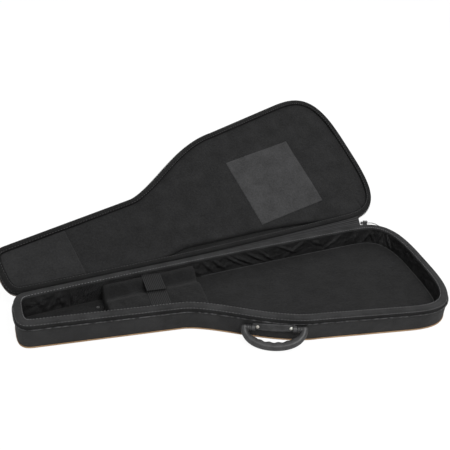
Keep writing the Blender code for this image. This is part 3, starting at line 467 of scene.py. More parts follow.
def finish_mesh(name: str, mesh: bpy.types.Mesh, sharp: float) -> bpy.types.Object:
    """Merges poles, shades smooth but for sharp edges, and links the object.

    Args:
        name: Name of the object.
        mesh: Its mesh.
        sharp: Angle in degrees above which an edge is sharp.

    Returns:
        The new object.
    """
    work = bmesh.new()
    work.from_mesh(mesh)
    bmesh.ops.remove_doubles(work, verts=work.verts, dist=1e-6)
    bmesh.ops.dissolve_degenerate(work, edges=work.edges, dist=1e-7)
    work.to_mesh(mesh)
    work.free()
    mesh.validate()
    mesh.shade_smooth()
    mesh.set_sharp_from_angle(angle=math.radians(sharp))
    return new_object(name, mesh)


def joined_copies(name: str, shape: Array, faces: Sequence[Sequence[int]], frames: Array,
                  centres: Array) -> bpy.types.Object:
    """Many copies of one small shape as one mesh.

    Args:
        name: Name of the object.
        shape: Corner places of the shape in its own frame.
        faces: Its faces.
        frames: For each copy, three rows that hold its axes.
        centres: For each copy, its place.

    Returns:
        The new object.
    """
    places = np.einsum("vk,nkc->nvc", shape, frames) + centres[:, None]
    count, corners = len(centres), len(shape)
    lists = [[c + n * corners for c in face] for n in range(count) for face in faces]
    mesh = bpy.data.meshes.new(name)
    mesh.from_pydata(places.reshape(-1, 3), [], lists)
    mesh.shade_smooth()
    return new_object(name, mesh)


def band_section(outer: float, inner: float, low: float, high: float, steps: int,
                 fillet: float) -> tuple[Array, Array, Array]:
    """Closed section of an upright band with rounded edges.

    Args:
        outer: Inset of the outer face.
        inner: Inset of the inner face.
        low: Local height of the lower edge.
        high: Local height of the upper edge.
        steps: Points on the outer face.
        fillet: Radius of its edges.

    Returns:
        Insets, local heights, and a weight that is 1 on the outer face and 0 elsewhere.
    """
    fillet = min(fillet, abs(inner - outer) / 2.01, (high - low) / 2.01)
    sign = 1.0 if inner > outer else -1.0
    turn = np.linspace(0.0, math.pi / 2, 5)[1:-1]
    rise = np.linspace(low + fillet, high - fillet, steps)
    curve_in = fillet * (1 - np.cos(turn)) * sign
    curve_up = fillet * np.sin(turn)
    inner_steps = steps // 3 + 2
    above, below = high - fillet, low + fillet
    inset = np.r_[np.full(steps, outer), outer + curve_in, inner - curve_in[::-1],
                  np.full(inner_steps, inner), inner - curve_in, outer + curve_in[::-1]]
    height = np.r_[rise, above + curve_up, above + curve_up[::-1],
                   np.linspace(above, below, inner_steps), below - curve_up, below - curve_up[::-1]]
    weight = np.zeros(len(inset))
    weight[:steps] = np.sin(np.linspace(0, math.pi, steps))
    return inset, height, weight


def edge_distance(x: Array, y: Array, border: Array) -> Array:
    """Distance from points to a closed border of straight pieces.

    Args:
        x: First coordinates.
        y: Second coordinates.
        border: Corners of the border.

    Returns:
        Distances in the shape of x.
    """
    a, b = border, np.roll(border, -1, 0)
    span = b - a
    points = np.stack([x.ravel(), y.ravel()], 1)
    best = np.full(len(points), np.inf)
    batch = 4000
    for k in range(0, len(points), batch):
        arm = points[k: k + batch, None] - a[None]
        share = np.clip((arm * span[None]).sum(2) / np.maximum((span ** 2).sum(1), 1e-12), 0.0, 1.0)
        away = np.linalg.norm(arm - share[..., None] * span[None], axis=2)
        best[k: k + batch] = away.min(1)
    return best.reshape(x.shape)


@dataclass
class Slab:
    """A pad that fills the outline at an inset between two places along the bag, with rounded edges.

    Its top is the given relief less a quarter-round, squeezed in height, that falls off within edge of the
    border.
    """

    outline: BagOutline
    inset: float
    low: float
    top: Relief
    edge: float
    x_low: Optional[float] = None
    x_high: Optional[float] = None
    narrow_far: Optional[Callable[[Array], Array]] = None
    rows: int = 220
    columns: int = 70
    squeeze: float = 0.75

    def grid(self) -> Array:
        """Rows along the bag; each row is a loop of its top and then its bottom, as plan and local height.

        Returns:
            Array of rows, columns and xyz.
        """
        near_x, near_y, far_x, far_y = self.outline.sides(self.inset)
        if self.narrow_far is not None:
            far_y = far_y - self.narrow_far(far_x)
        lowest, highest = near_x[0], near_x[-1]
        share = np.linspace(0.0, 1.0, self.rows)
        if self.x_low is None and self.x_high is None:
            share = 0.5 - 0.5 * np.cos(math.pi * share)
        elif self.x_low is None:
            share = 1.0 - np.cos(0.5 * math.pi * share)
        elif self.x_high is None:
            share = np.sin(0.5 * math.pi * share)
        start = lowest if self.x_low is None else self.x_low
        end = highest if self.x_high is None else self.x_high
        x = start + (end - start) * share
        near, far = np.interp(x, near_x, near_y), np.interp(x, far_x, far_y)
        across = 0.5 - 0.5 * np.cos(np.linspace(0.0, math.pi, self.columns))
        px = np.broadcast_to(x[:, None], (self.rows, self.columns))
        py = near[:, None] + (far - near)[:, None] * across
        border = np.vstack([np.c_[x, near], np.c_[x[::-1], far[::-1]]])
        away = np.clip(edge_distance(px, py, border) / self.edge, 0.0, 1.0)
        fall = self.edge * self.squeeze * (1.0 - np.sqrt(1.0 - (1.0 - away) ** 2))
        top = np.stack([px, py, self.top(px, py) - fall], -1)
        bottom = np.stack([px, py, np.full(px.shape, self.low)], -1)
        return top_and_bottom(top, bottom)

    def piece(self, name: str, shell: Shell, half: Optional[Half]) -> bpy.types.Object:
        """The pad as an object; without a half its heights are heights above the ground.

        Args:
            name: Name of the object.
            shell: The shell that places it.
            half: Its half, or none for heights above the ground.

        Returns:
            The new piece.
        """
        grid = self.grid()
        if half is not None:
            grid = shell.place(grid, half)
        return grid_piece(name, grid, along=False, slab_caps=True, sharp=60)


class NodeSheet:
    """A material's node tree with short calls for the nodes that the finishes share."""

    def __init__(self, name: str) -> None:
        """Starts a material with one Principled shader.

        Args:
            name: Name of the material.
        """
        self.material = bpy.data.materials.new(name)
        self.material.use_nodes = True
        self.tree = self.material.node_tree
        self.shader = self.tree.nodes["Principled BSDF"]
        self.where = self.tree.nodes.new("ShaderNodeTexCoord")

    def node(self, kind: str, **values: object) -> bpy.types.Node:
        """A node with its properties set, and its inputs too where a name is an input's.

        Args:
            kind: Type of the node.
            values: Its inputs and properties.

        Returns:
            The new node.
        """
        made = self.tree.nodes.new(kind)
        for name, value in values.items():
            if name in made.inputs:
                made.inputs[name].default_value = value
            else:
                setattr(made, name, value)
        return made

    def link(self, out: bpy.types.NodeSocket, into: bpy.types.NodeSocket) -> None:
        """Joins two sockets."""
        self.tree.links.new(out, into)

    def noise(self, scale: float, detail: float = 3.0, roughness: float = 0.6) -> bpy.types.NodeSocket:
        """Noise on object coordinates, at waves per metre.

        Args:
            scale: Waves per metre.
            detail: Number of octaves.
            roughness: Share that each octave keeps of the one before.

        Returns:
            The node's output.
        """
        made = self.node("ShaderNodeTexNoise", Scale=scale, Detail=detail, Roughness=roughness)
        self.link(self.where.outputs["Object"], made.inputs["Vector"])
        return made.outputs["Fac"]

    def maths(self, kind: str, a: object, b: object = 0.0) -> bpy.types.NodeSocket:
        """One math node on two numbers or sockets.

        Args:
            kind: Its operation.
            a: First number or socket.
            b: Second number or socket.

        Returns:
            The node's output.
        """
        made = self.node("ShaderNodeMath", operation=kind)
        for index, value in enumerate((a, b)):
            if isinstance(value, (int, float)):
                made.inputs[index].default_value = value
            else:
                self.link(value, made.inputs[index])
        return made.outputs[0]

    def sine(self, axis: int, pitch: float) -> bpy.types.NodeSocket:
        """Sine of the UV map's u or v, one wave every pitch metres.

        Args:
            axis: 0 for u or 1 for v.
            pitch: Wave length in metres.

        Returns:
            The node's output.
        """
        split = self.node("ShaderNodeSeparateXYZ")
        self.link(self.where.outputs["UV"], split.inputs[0])
        return self.maths("SINE", self.maths("MULTIPLY", split.outputs[axis], 2 * math.pi / pitch))

    def ramp(self, factor: bpy.types.NodeSocket, low: float, high: float, dark: Colour,
             light: Colour) -> bpy.types.NodeSocket:
        """Colour between a dark and a light tone as the factor goes from low to high.

        Args:
            factor: What the colour follows.
            low: Factor of the dark tone.
            high: Factor of the light tone.
            dark: Linear dark colour.
            light: Linear light colour.

        Returns:
            The node's output.
        """
        made = self.node("ShaderNodeValToRGB")
        made.color_ramp.elements[0].position = low
        made.color_ramp.elements[0].color = (*dark, 1.0)
        made.color_ramp.elements[1].position = high
        made.color_ramp.elements[1].color = (*light, 1.0)
        self.link(factor, made.inputs["Fac"])
        return made.outputs["Color"]

    def bump(self, height: bpy.types.NodeSocket, depth: float,
             under: Optional[bpy.types.NodeSocket] = None) -> bpy.types.NodeSocket:
        """Bump of a height in metres, over another bump.

        Args:
            height: The relief, in shares of its depth.
            depth: Depth in metres.
            under: Normal that it is laid over.

        Returns:
            The new normal.
        """
        made = self.node("ShaderNodeBump", Strength=1.0, Distance=depth)
        self.link(height, made.inputs["Height"])
        if under is not None:
            self.link(under, made.inputs["Normal"])
        return made.outputs["Normal"]

    def shade(self, colour: bpy.types.NodeSocket, normal: Optional[bpy.types.NodeSocket], roughness: float,
              **values: float) -> bpy.types.Material:
        """Feeds the shader and returns the material.

        Args:
            colour: Base colour.
            normal: Normal, if the surface has a relief.
            roughness: Roughness of the surface.
            values: Other inputs, with underscores for their spaces.

        Returns:
            The material.
        """
        self.link(colour, self.shader.inputs["Base Color"])
        if normal is not None:
            self.link(normal, self.shader.inputs["Normal"])
        self.shader.inputs["Roughness"].default_value = roughness
        for name, value in values.items():
            self.shader.inputs[name.replace("_", " ")].default_value = value
        return self.material


def tone(value: float) -> Colour:
    """A grey linear colour, a trace bluer than neutral, from an 8-bit display value.

    Args:
        value: Display value, 0 to 255.

    Returns:
        The linear colour.
    """
    share = value / 255.0
    linear = share / 12.92 if share <= 0.04045 else ((share + 0.055) / 1.055) ** 2.4
    return linear, linear, linear * 1.02


@dataclass(frozen=True)
class Fleece:
    """Brushed pile: mottled tone at two scales, fine fibre bump over coarser tufts, and a soft sheen.

    The scales are waves per metre, and the contrast is the span of the mixed noise that the tones take up.
    """

    name: str
    dark: float
    light: float
    depth: float = 0.0011
    fine_scale: float = 230.0
    broad_scale: float = 24.0
    fine_share: float = 0.68
    contrast: tuple[float, float] = (0.39, 0.61)
    tuft_scale: float = 170.0
    tuft_share: float = 1.4
    fibre_scale: float = 900.0

    def material(self) -> bpy.types.Material:
        """The finish as a material.

        Returns:
            The new material.
        """
        sheet = NodeSheet(self.name)
        fine = sheet.maths("MULTIPLY", sheet.noise(self.fine_scale, 5.0, 0.8), self.fine_share)
        broad = sheet.maths("MULTIPLY", sheet.noise(self.broad_scale), 1.0 - self.fine_share)
        mixed = sheet.maths("ADD", fine, broad)
        colour = sheet.ramp(mixed, *self.contrast, tone(self.dark), tone(self.light))
        tuft = sheet.bump(sheet.noise(self.tuft_scale), self.depth * self.tuft_share)
        normal = sheet.bump(sheet.noise(self.fibre_scale, roughness=0.7), self.depth, tuft)
        return sheet.shade(colour, normal, 0.95, Sheen_Weight=0.05, Sheen_Roughness=0.6,
                           Specular_IOR_Level=0.12)


@dataclass(frozen=True)
class WovenCloth:
    """Plain weave: crossed sine threads on the UV map, with slow unevenness of tone.

    Its tones are the greys dark and light, unless a pair of linear colours is given.
    """

    name: str
    dark: float = 38.0
    light: float = 52.0
    pitch: float = 0.0011
    depth: float = 0.00016
    roughness: float = 0.72
    gloss: float = 0.3
    thread_share: float = 0.10
    broad_scale: float = 18.0
    contrast: tuple[float, float] = (0.30, 0.72)
    dent_scale: float = 60.0
    dent_depth: float = 0.0012
    colours: Optional[tuple[Colour, Colour]] = None

    def material(self) -> bpy.types.Material:
        """The finish as a material.

        Returns:
            The new material.
        """
        sheet = NodeSheet(self.name)
        threads = sheet.maths("MULTIPLY", sheet.sine(0, self.pitch), sheet.sine(1, self.pitch))
        broad = sheet.noise(self.broad_scale, 4.0, 0.65)
        mixed = sheet.maths("ADD", sheet.maths("MULTIPLY", threads, self.thread_share), broad)
        colours = self.colours or (tone(self.dark), tone(self.light))
        colour = sheet.ramp(mixed, *self.contrast, *colours)
        dents = sheet.bump(sheet.noise(self.dent_scale), self.dent_depth)
        normal = sheet.bump(threads, self.depth, dents)
        return sheet.shade(colour, normal, self.roughness, Specular_IOR_Level=self.gloss)


@dataclass(frozen=True)
class Webbing:
    """Ribbed webbing: ribs along one axis of the UV map, a fine twill along the other, and a mottle. The tone
    follows the ribs, with painted highlight on their crests and painted shade in their grooves.
    """

    name: str
    dark: float
    light: float
    pitch: float
    axis: int = 1
    depth: float = 0.0006
    twill_pitch: float = 0.6
    twill_share: float = 0.12
    mottle_scale: float = 90.0
    mottle_share: float = 0.5
    contrast: tuple[float, float] = (0.2, 1.3)

    def material(self) -> bpy.types.Material:
        """The finish as a material.

        Returns:
            The new material.
        """
        sheet = NodeSheet(self.name)
        ribs = sheet.maths("ADD", sheet.maths("MULTIPLY", sheet.sine(self.axis, self.pitch), 0.5), 0.5)
        twill = sheet.sine(1 - self.axis, self.pitch * self.twill_pitch)
        cross = sheet.maths("MULTIPLY", twill, self.twill_share)
        mottle = sheet.maths("MULTIPLY", sheet.noise(self.mottle_scale), self.mottle_share)
        mixed = sheet.maths("ADD", sheet.maths("ADD", ribs, cross), mottle)
        # The ribs set the tone as well as the bump: painted highlight on the crests, painted shade in the
        # grooves.
        colour = sheet.ramp(mixed, *self.contrast, tone(self.dark), tone(self.light))
        normal = sheet.bump(ribs, self.depth)
        return sheet.shade(colour, normal, 0.78, Specular_IOR_Level=0.25)


@dataclass(frozen=True)
class Moulded:
    """Moulded plastic, thread or metal: a colour that varies slowly by a spread, with a fine grain."""

    name: str
    colour: Colour
    roughness: float = 0.45
    metallic: float = 0.0
    grain: float = 0.00005
    gloss: float = 0.5
    spread: float = 0.18
    scale: float = 70.0
    contrast: tuple[float, float] = (0.40, 0.60)
    grain_scale: float = 1500.0

    def material(self) -> bpy.types.Material:
        """The finish as a material.

        Returns:
            The new material.
        """
        sheet = NodeSheet(self.name)
        broad = sheet.noise(self.scale, 4.0)
        light = tuple(min(1.0, c * (1.0 + self.spread)) for c in self.colour)
        dark = tuple(c * (1.0 - self.spread) for c in self.colour)
        colour = sheet.ramp(broad, *self.contrast, dark, light)
        normal = sheet.bump(sheet.noise(self.grain_scale, 2.0, 0.5), self.grain)
        return sheet.shade(colour, normal, self.roughness, Metallic=self.metallic,
                           Specular_IOR_Level=self.gloss)


@dataclass
class Wardrobe:
    """Every finish of the bag, made once."""

    made: dict[str, bpy.types.Material] = field(default_factory=dict)

    def __post_init__(self) -> None:
        """Builds the materials."""
        finishes = (
            WovenCloth("shell_cloth", 36, 52, pitch=0.0009, depth=0.00010, roughness=0.62),
            WovenCloth("rim_cloth", 38, 64, pitch=0.0014, depth=0.00025, roughness=0.60),
            # Darker copy of rim_cloth for the lid's rim: painted shade.
            WovenCloth("lid_rim_cloth_painted_shade", 13, 27, pitch=0.0014, depth=0.00025, roughness=0.60),
            WovenCloth("lining_cloth", 15, 38, pitch=0.0008, roughness=0.48, gloss=0.42),
            WovenCloth("tape_cloth", 20, 40, pitch=0.0016, depth=0.0003),
            Fleece("floor_fleece", 28, 43),
            # The cradle's fleece is the floor fleece made a little darker: painted shade.
            Fleece("cradle_cover_painted_shade", 25, 39),
            Fleece("lid_fleece", 33, 49),
            Fleece("patch_cloth", 57, 76, depth=0.0006),
            Fleece("head_patch_cloth", 40, 54, depth=0.0006),
            WovenCloth("pad_edge_cloth", 62, 84, pitch=0.0012),
            # Both webbings carry painted highlight and painted shade along their ribs.
            Webbing("strap_webbing", 15, 54, pitch=0.0044, depth=0.0012),
            Webbing("gusset_webbing", 36, 70, pitch=0.0032),
            WovenCloth("piping_cloth", pitch=0.0012, depth=0.0003,
                       colours=((0.42, 0.25, 0.13), (0.66, 0.43, 0.25))),
            Moulded("coil_nylon", tone(88), 0.38, gloss=0.6, spread=0.9, scale=125.0),
            Moulded("stitch_thread", tone(138), 0.7),
            Moulded("lid_thread", tone(84), 0.7),
            Moulded("handle_plastic", tone(60), 0.42),
            Moulded("plate_plastic", tone(73), 0.36),
            Moulded("rivet_metal", (0.90, 0.86, 0.78), 0.30, 0.35, gloss=0.8),
            Moulded("zip_metal", (0.24, 0.24, 0.24), 0.42, 0.6),
            Moulded("steel", (0.50, 0.50, 0.50), 0.35, 1.0),
            Moulded("core_foam", tone(40), 0.95),
        )
        for finish in finishes:
            self.made[finish.name] = finish.material()

    def dress(self, item: bpy.types.Object, finish: str) -> None:
        """Puts one finish on a piece."""
        item.data.materials.clear()
        item.data.materials.append(self.made[finish])

    def cloth(self, item: bpy.types.Object, held: str, length: float, rests_on: Sequence[str] = ()) -> None:
        """Takes a piece of cloth and does nothing with it.

        Args:
            item: The piece, a closed thin mesh; not used.
            held: How the cloth is held; not used.
            length: Its cut length in metres; not used.
            rests_on: Names of what it lies on or is sewn to; not used.
        """

    def fit(self, item: bpy.types.Object, finish: str, body: str, slot: str, *nodes: str) -> bpy.types.Object:
        """Dresses a new piece, lets it ride on a body and stand for solids.

        Args:
            item: The piece.
            finish: Name of the finish.
            body: Body that it rides on.
            slot: Material slot of the record; not used.
            nodes: Solids that it stands for.

        Returns:
            The same piece.
        """
        self.dress(item, finish)
        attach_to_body(item, body)
        if nodes:
            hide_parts(*nodes)
        LOG.info("%s: %d faces", item.name, len(item.data.polygons))
        return item


@dataclass
class OuterShell:
    """Outer cloth of one half: side cover, flat panel and piping."""

    shell: Shell
    half: Half
    steps: int = 1000
    piping_radius: float = 0.0020
    piping_inset: float = 0.0012
    piping_height: float = 0.0032
    panel_inset: float = 0.0035
    panel: float = 0.0024
    panel_edge: float = 0.0016
    lid_bulge: float = 0.0014
    cover: float = 0.0022
    cover_top: float = -0.0030
    cover_edge: float = 0.0008
    cover_seat: float = 0.0003
    belly: float = 0.0008
    ripples: tuple[Ripple, ...] = (Ripple(0.0007, 0.11, 3), Ripple(0.0003, 0.035, 4))

    @property
    def depth(self) -> float:
        """Distance from the rim plane to the outer face of the panel."""
        return self.shell.rim if self.half is Half.TRAY else self.shell.lid_depth

    def side_cover(self) -> bpy.types.Object:
        """The side wall's cloth: an upright band with slow ripples and a slight belly.

        Returns:
            The new piece.
        """
        track = self.shell.outline.ring(self.steps)
        low = -self.depth + self.piping_height + self.piping_radius + self.cover_seat
        inset, height, weight = band_section(0.0, self.cover, low, self.cover_top, 18, self.cover_edge)
        x, y = track.place[:, :1], height[None] * 1.6 + track.place[:, 1:]
        belly = self.belly + uneven(x, y, self.ripples)
        grid = self.shell.carry(track, inset - weight * belly, height, self.half)
        return grid_piece(self.half.value + "_side_cloth", grid, along=True)

    def flat_panel(self) -> bpy.types.Object:
        """The flat panel with a soft edge; the lid's bulges a little outwards.

        Returns:
            The new piece.
        """
        bulge = 0.0 if self.half is Half.TRAY else self.lid_bulge

        def face(x: Array, y: Array) -> Array:
            """Outer face in heights that point outwards, so that the slab's top is the outside."""
            return np.full(x.shape, self.depth) + bulge * (0.6 + 0.4 * waves(x, y, 0.30, 7))

        slab = Slab(self.shell.outline, self.panel_inset, self.depth - self.panel, face, self.panel_edge,
                    rows=260, columns=64)
        grid = slab.grid() * (1.0, 1.0, -1.0)
        return grid_piece(self.half.value + "_panel_cloth", self.shell.place(grid, self.half), along=False,
                          slab_caps=True)

    def piping(self) -> bpy.types.Object:
        """Round piping along the outer edge.

        Returns:
            The new piece.
        """
        track = self.shell.outline.ring(self.steps)
        turn = full_turn(10)
        inset = self.piping_inset - self.piping_radius * np.cos(turn)
        height = -self.depth + self.piping_height + self.piping_radius * np.sin(turn)
        grid = self.shell.carry(track, inset, height, self.half)
        return grid_piece(self.half.value + "_piping_cord", grid, along=True, sharp=180)

    def build(self, finishes: Wardrobe) -> None:
        """Makes and dresses the three pieces.

        Args:
            finishes: The bag's finishes.
        """
        body = self.half.value
        flat_node = "tray_back_panel" if self.half is Half.TRAY else "lid_face_cover"
        side = finishes.fit(self.side_cover(), "shell_cloth", body, "shell cloth", body + "_side_cover")
        finishes.cloth(side, "stretched", self.shell.outline.total)
        flat = finishes.fit(self.flat_panel(), "shell_cloth", body, "shell cloth", flat_node)
        finishes.cloth(flat, "stretched", self.shell.outline.length)
        finishes.fit(self.piping(), "piping_cloth", body, "tan piping", body + "_piping")


@dataclass
class Rim:
    """Rim of one half: rolled binding, its stitches, zip tape and zip coil.

    Each row of stitches has an inset and a local height. The coil's filament and the circle that it winds on
    are shares of the coil's radius.
    """

    shell: Shell
    half: Half
    binding_middle: float = 0.0085
    binding_half: float = 0.0099
    binding_drop: float = 0.0080
    binding_wall: float = 0.0009
    binding_power: float = 2.7
    binding_slack: float = 0.0002
    binding_sink: float = 0.0001
    gather: float = 0.0001
    ripples: tuple[Ripple, ...] = (Ripple(0.00014, 0.05, 11), Ripple(0.00008, 0.017, 12))
    stitch_pitch: float = 0.0076
    stitch_length: float = 0.0042
    stitch_radius: float = 0.00075
    outer_row: float = -0.0010
    outer_level: float = -0.0060
    dash_pitch: float = 0.0115
    dash_share: float = 0.60
    dash_margin: float = 0.034
    dash_row: float = -0.0022
    dash_rise: float = 0.0012
    tape_high: float = -0.0083
    tape_low: float = -0.0188
    tape_out: float = -0.0014
    tape_in: float = -0.0004
    tape_edge: float = 0.0004
    tape_lift: float = 0.0004
    tape_ripples: tuple[Ripple, ...] = (Ripple(0.0004, 0.04, 21),)
    tape_share: float = 0.62
    coil_radius: float = 0.0015
    coil_circle: float = 0.72
    coil_wire: float = 0.42
    coil_out: float = 0.0034
    coil_drop: float = 0.0165
    coil_rise: float = 0.0010
    level_run: float = 0.030
    climb_run: float = 0.050
    turn_pitch: float = 0.0026
    turn_steps: int = 8
    inner_row: float = 0.0168
    inner_level: float = -0.0022

    @classmethod
    def of(cls, shell: Shell, half: Half) -> "Rim":
        """The rim of one half; the lid's binding is narrower and its tape sits nearer to the edge.

        Args:
            shell: The bag's shell.
            half: Which half.

        Returns:
            The rim.
        """
        if half is Half.TRAY:
            return cls(shell, half)
        return cls(shell, half, binding_middle=0.0063, binding_half=0.0074, binding_drop=0.0065,
                   tape_high=-0.0068, tape_low=-0.0173, inner_row=0.0116, inner_level=-0.0014)

    def binding(self) -> bpy.types.Object:
        """Rolled binding: an arch of superellipse section, gathered a little at each stitch.

        Returns:
            The new piece.
        """
        track = self.shell.outline.ring(1500)
        power = 2.0 / self.binding_power
        turn = np.linspace(0.0, math.pi, 20)

        def arch(shrink: float) -> Array:
            """Insets and local heights of the arch, drawn in by a thickness.

            Args:
                shrink: How far it is drawn in.

            Returns:
                A row of insets and a row of local heights.
            """
            half, rise = self.binding_half - shrink, self.binding_drop - self.binding_slack - shrink
            inset = self.binding_middle - half * super_power(np.cos(turn), power)
            return np.stack([inset, -self.binding_drop + rise * super_power(np.sin(turn), power)])

        inset, height = np.concatenate([arch(0.0), arch(self.binding_wall)[:, ::-1]], 1)
        weight = np.r_[np.sin(turn), np.zeros(len(turn))]
        gather = self.gather * np.cos(2 * math.pi * track.arc / self.stitch_pitch)[:, None]
        slow = uneven(track.place[:, :1], track.place[:, 1:], self.ripples) - self.binding_sink
        grid = self.shell.carry(track, inset, height + weight * (gather + slow), self.half)
        return grid_piece(self.half.value + "_binding_cloth", grid, along=True, sharp=75)

    def zip_track(self, count: int, margin: float = 0.0) -> Track:
        """The zip's run, from the hinge's head end round the head, near side and tail to its body end.

        Args:
            count: Number of steps.
            margin: Length left free at both ends.

        Returns:
            The run along the outline.
        """
        outline = self.shell.outline
        start, end = outline.far_arc(self.shell.hinge_head), outline.far_arc(self.shell.hinge_tail)
        return outline.run(start + margin, end - margin, count)

    def stitches(self, name: str, track: Track, inset: float, height: float,
                 up: tuple[float, float]) -> bpy.types.Object:
        """A row of short stitches, each a spindle of four sides.

        Args:
            name: Name of the object.
            track: Run that the row follows, one step for each stitch.
            inset: Inset of the row.
            height: Local height of the row.
            up: Outward direction of the cloth, as outward and upward shares.

        Returns:
            The row as one object.
        """
        places = self.shell.line(track, inset, height, self.half)
        ahead = unit(np.gradient(places, axis=0))
        probe = 0.001
        lifted = self.shell.line(track, inset - up[0] * probe, height + up[1] * probe, self.half)
        face = unit(lifted - places)
        side = np.cross(face, ahead)
        tip, thick = self.stitch_length / 2, self.stitch_radius
        shoulder, flat = tip * 0.6, thick * 0.8
        waist = [(x, y * thick, z * flat) for x in (-shoulder, shoulder)
                 for y, z in ((1, 0), (0, 1), (-1, 0), (0, -1))]
        shape = np.array([(-tip, 0, 0), *waist, (tip, 0, 0)])
        faces = [(0, 1 + (k + 1) % 4, 1 + k) for k in range(4)]
        faces += [(1 + k, 1 + (k + 1) % 4, 5 + (k + 1) % 4, 5 + k) for k in range(4)]
        faces += [(9, 5 + k, 5 + (k + 1) % 4) for k in range(4)]
        return joined_copies(name, shape, faces, np.stack([ahead, side, face], 1), places)

    def tape(self) -> bpy.types.Object:
        """Zip tape outside the wall, its lower edge lifting slightly in slow waves.

        Returns:
            The new piece.
        """
        track = self.zip_track(1100)
        inset, height, _ = band_section(self.tape_out, self.tape_in, self.tape_low, self.tape_high, 8,
                                        self.tape_edge)
        lift = np.clip((self.tape_high - height) / (self.tape_high - self.tape_low), 0, 1) ** 2
        wave = self.tape_lift + uneven(track.place[:, :1], track.place[:, 1:], self.tape_ripples)
        grid = self.shell.carry(track, inset - lift * np.maximum(wave, 0.0), height, self.half)
        return grid_piece(self.half.value + "_tape_cloth", grid, along=False)

    def coil_height(self, from_end: Array) -> Array:
        """Local height of the coil's middle; the tray's climbs to the rim towards the hinge.

        Args:
            from_end: Distance along the rim from the hinge's body end.

        Returns:
            Local heights.
        """
        if self.half is Half.LID:
            return np.full(from_end.shape, -self.coil_drop)
        share = smooth((from_end - self.level_run) / self.climb_run)
        return self.coil_rise - (self.coil_rise + self.coil_drop) * share

    def coil(self) -> bpy.types.Object:
        """The coil as one wound filament: a helix about the coil's line, carried along the rim.

        Returns:
            The new piece.
        """
        whole = self.zip_track(2)
        track = self.zip_track(int(np.ptp(whole.arc) / self.turn_pitch * self.turn_steps))
        travel = track.arc - track.arc[0]
        turn = 2 * math.pi * travel / self.turn_pitch
        radius, wire = self.coil_radius * self.coil_circle, self.coil_radius * self.coil_wire
        level = self.coil_height(travel[-1] - travel)
        centre = self.shell.line(track, -self.coil_out - radius * np.cos(turn), level + radius * np.sin(turn),
                                 self.half)
        ahead = unit(np.gradient(centre, axis=0))
        side = unit(np.cross(ahead, centre - self.shell.line(track, -self.coil_out, level, self.half)))
        outward = np.cross(side, ahead)
        angle = full_turn(4)[None, :, None]
        ring = outward[:, None] * np.cos(angle) + side[:, None] * np.sin(angle)
        grid = centre[:, None] + wire * ring
        return grid_piece(self.half.value + "_coil_teeth", grid, along=False, sharp=180)

    def build(self, finishes: Wardrobe) -> None:
        """Makes and dresses the binding, stitches, tape and coil.

        Args:
            finishes: The bag's finishes.
        """
        body = self.half.value
        tray = self.half is Half.TRAY
        # The lid's rim takes the darker copy of the rim cloth, which is painted shade.
        cloth, thread = ("rim_cloth", "stitch_thread") if tray else ("lid_rim_cloth_painted_shade", "lid_thread")
        total = self.shell.outline.total
        binding = finishes.fit(self.binding(), cloth, body, "shell cloth", body + "_rim_binding")
        finishes.cloth(binding, "folded", total)
        ring = self.shell.outline.ring(int(total / self.stitch_pitch))
        run = self.zip_track(int(total * self.dash_share / self.dash_pitch), self.dash_margin)
        rows = (("_inner_stitches", ring, self.inner_row, self.inner_level, (-0.3, 0.95)),
                ("_outer_stitches", ring, self.outer_row, self.outer_level, (1.0, 0.0)),
                ("_tape_stitches", run, self.dash_row, self.tape_low + self.dash_rise, (1.0, 0.0)))
        for name, track, inset, level, up in rows:
            finishes.fit(self.stitches(body + name, track, inset, level, up), thread, body, "shell cloth")
        tape = finishes.fit(self.tape(), "tape_cloth", body, "shell cloth", body + "_zip_tape")
        finishes.cloth(tape, "stretched", total * self.tape_share)
        finishes.fit(self.coil(), "coil_nylon", body, "coil", body + "_zip_coil")


@dataclass(frozen=True)
class Fold:
    """A crease of the wall lining: its station, lean, width, depth, vertical middle and reach, and side."""

    station: float
    lean: float
    width: float
    depth: float
    middle: float = 0.035
    reach: float = 0.020
    far: bool = True
    hollow: float = 0.35
    hollow_away: float = 1.8

    def relief(self, outline: BagOutline, arc: Array, above: Array) -> Array:
        """A leaning ridge of Gaussian section with a shallow hollow beside it, which fades up and down.

        Args:
            outline: The bag's outline.
            arc: Arc length of each row.
            above: Height above the ground of each column.

        Returns:
            How far the cloth stands into the bag, for each row and column.
        """
        middle = outline.far_arc(self.station) if self.far else outline.near_arc(self.station)
        away = np.mod(arc - middle + outline.total / 2, outline.total) - outline.total / 2
        across = away[:, None] - self.lean * (above - self.middle)
        ridge = np.exp(-(across / self.width) ** 2)
        hollow = np.exp(-((across - self.hollow_away * self.width) / self.width) ** 2)
        fade = np.exp(-((above - self.middle) / self.reach) ** 2)
        return self.depth * (ridge - self.hollow * hollow) * fade


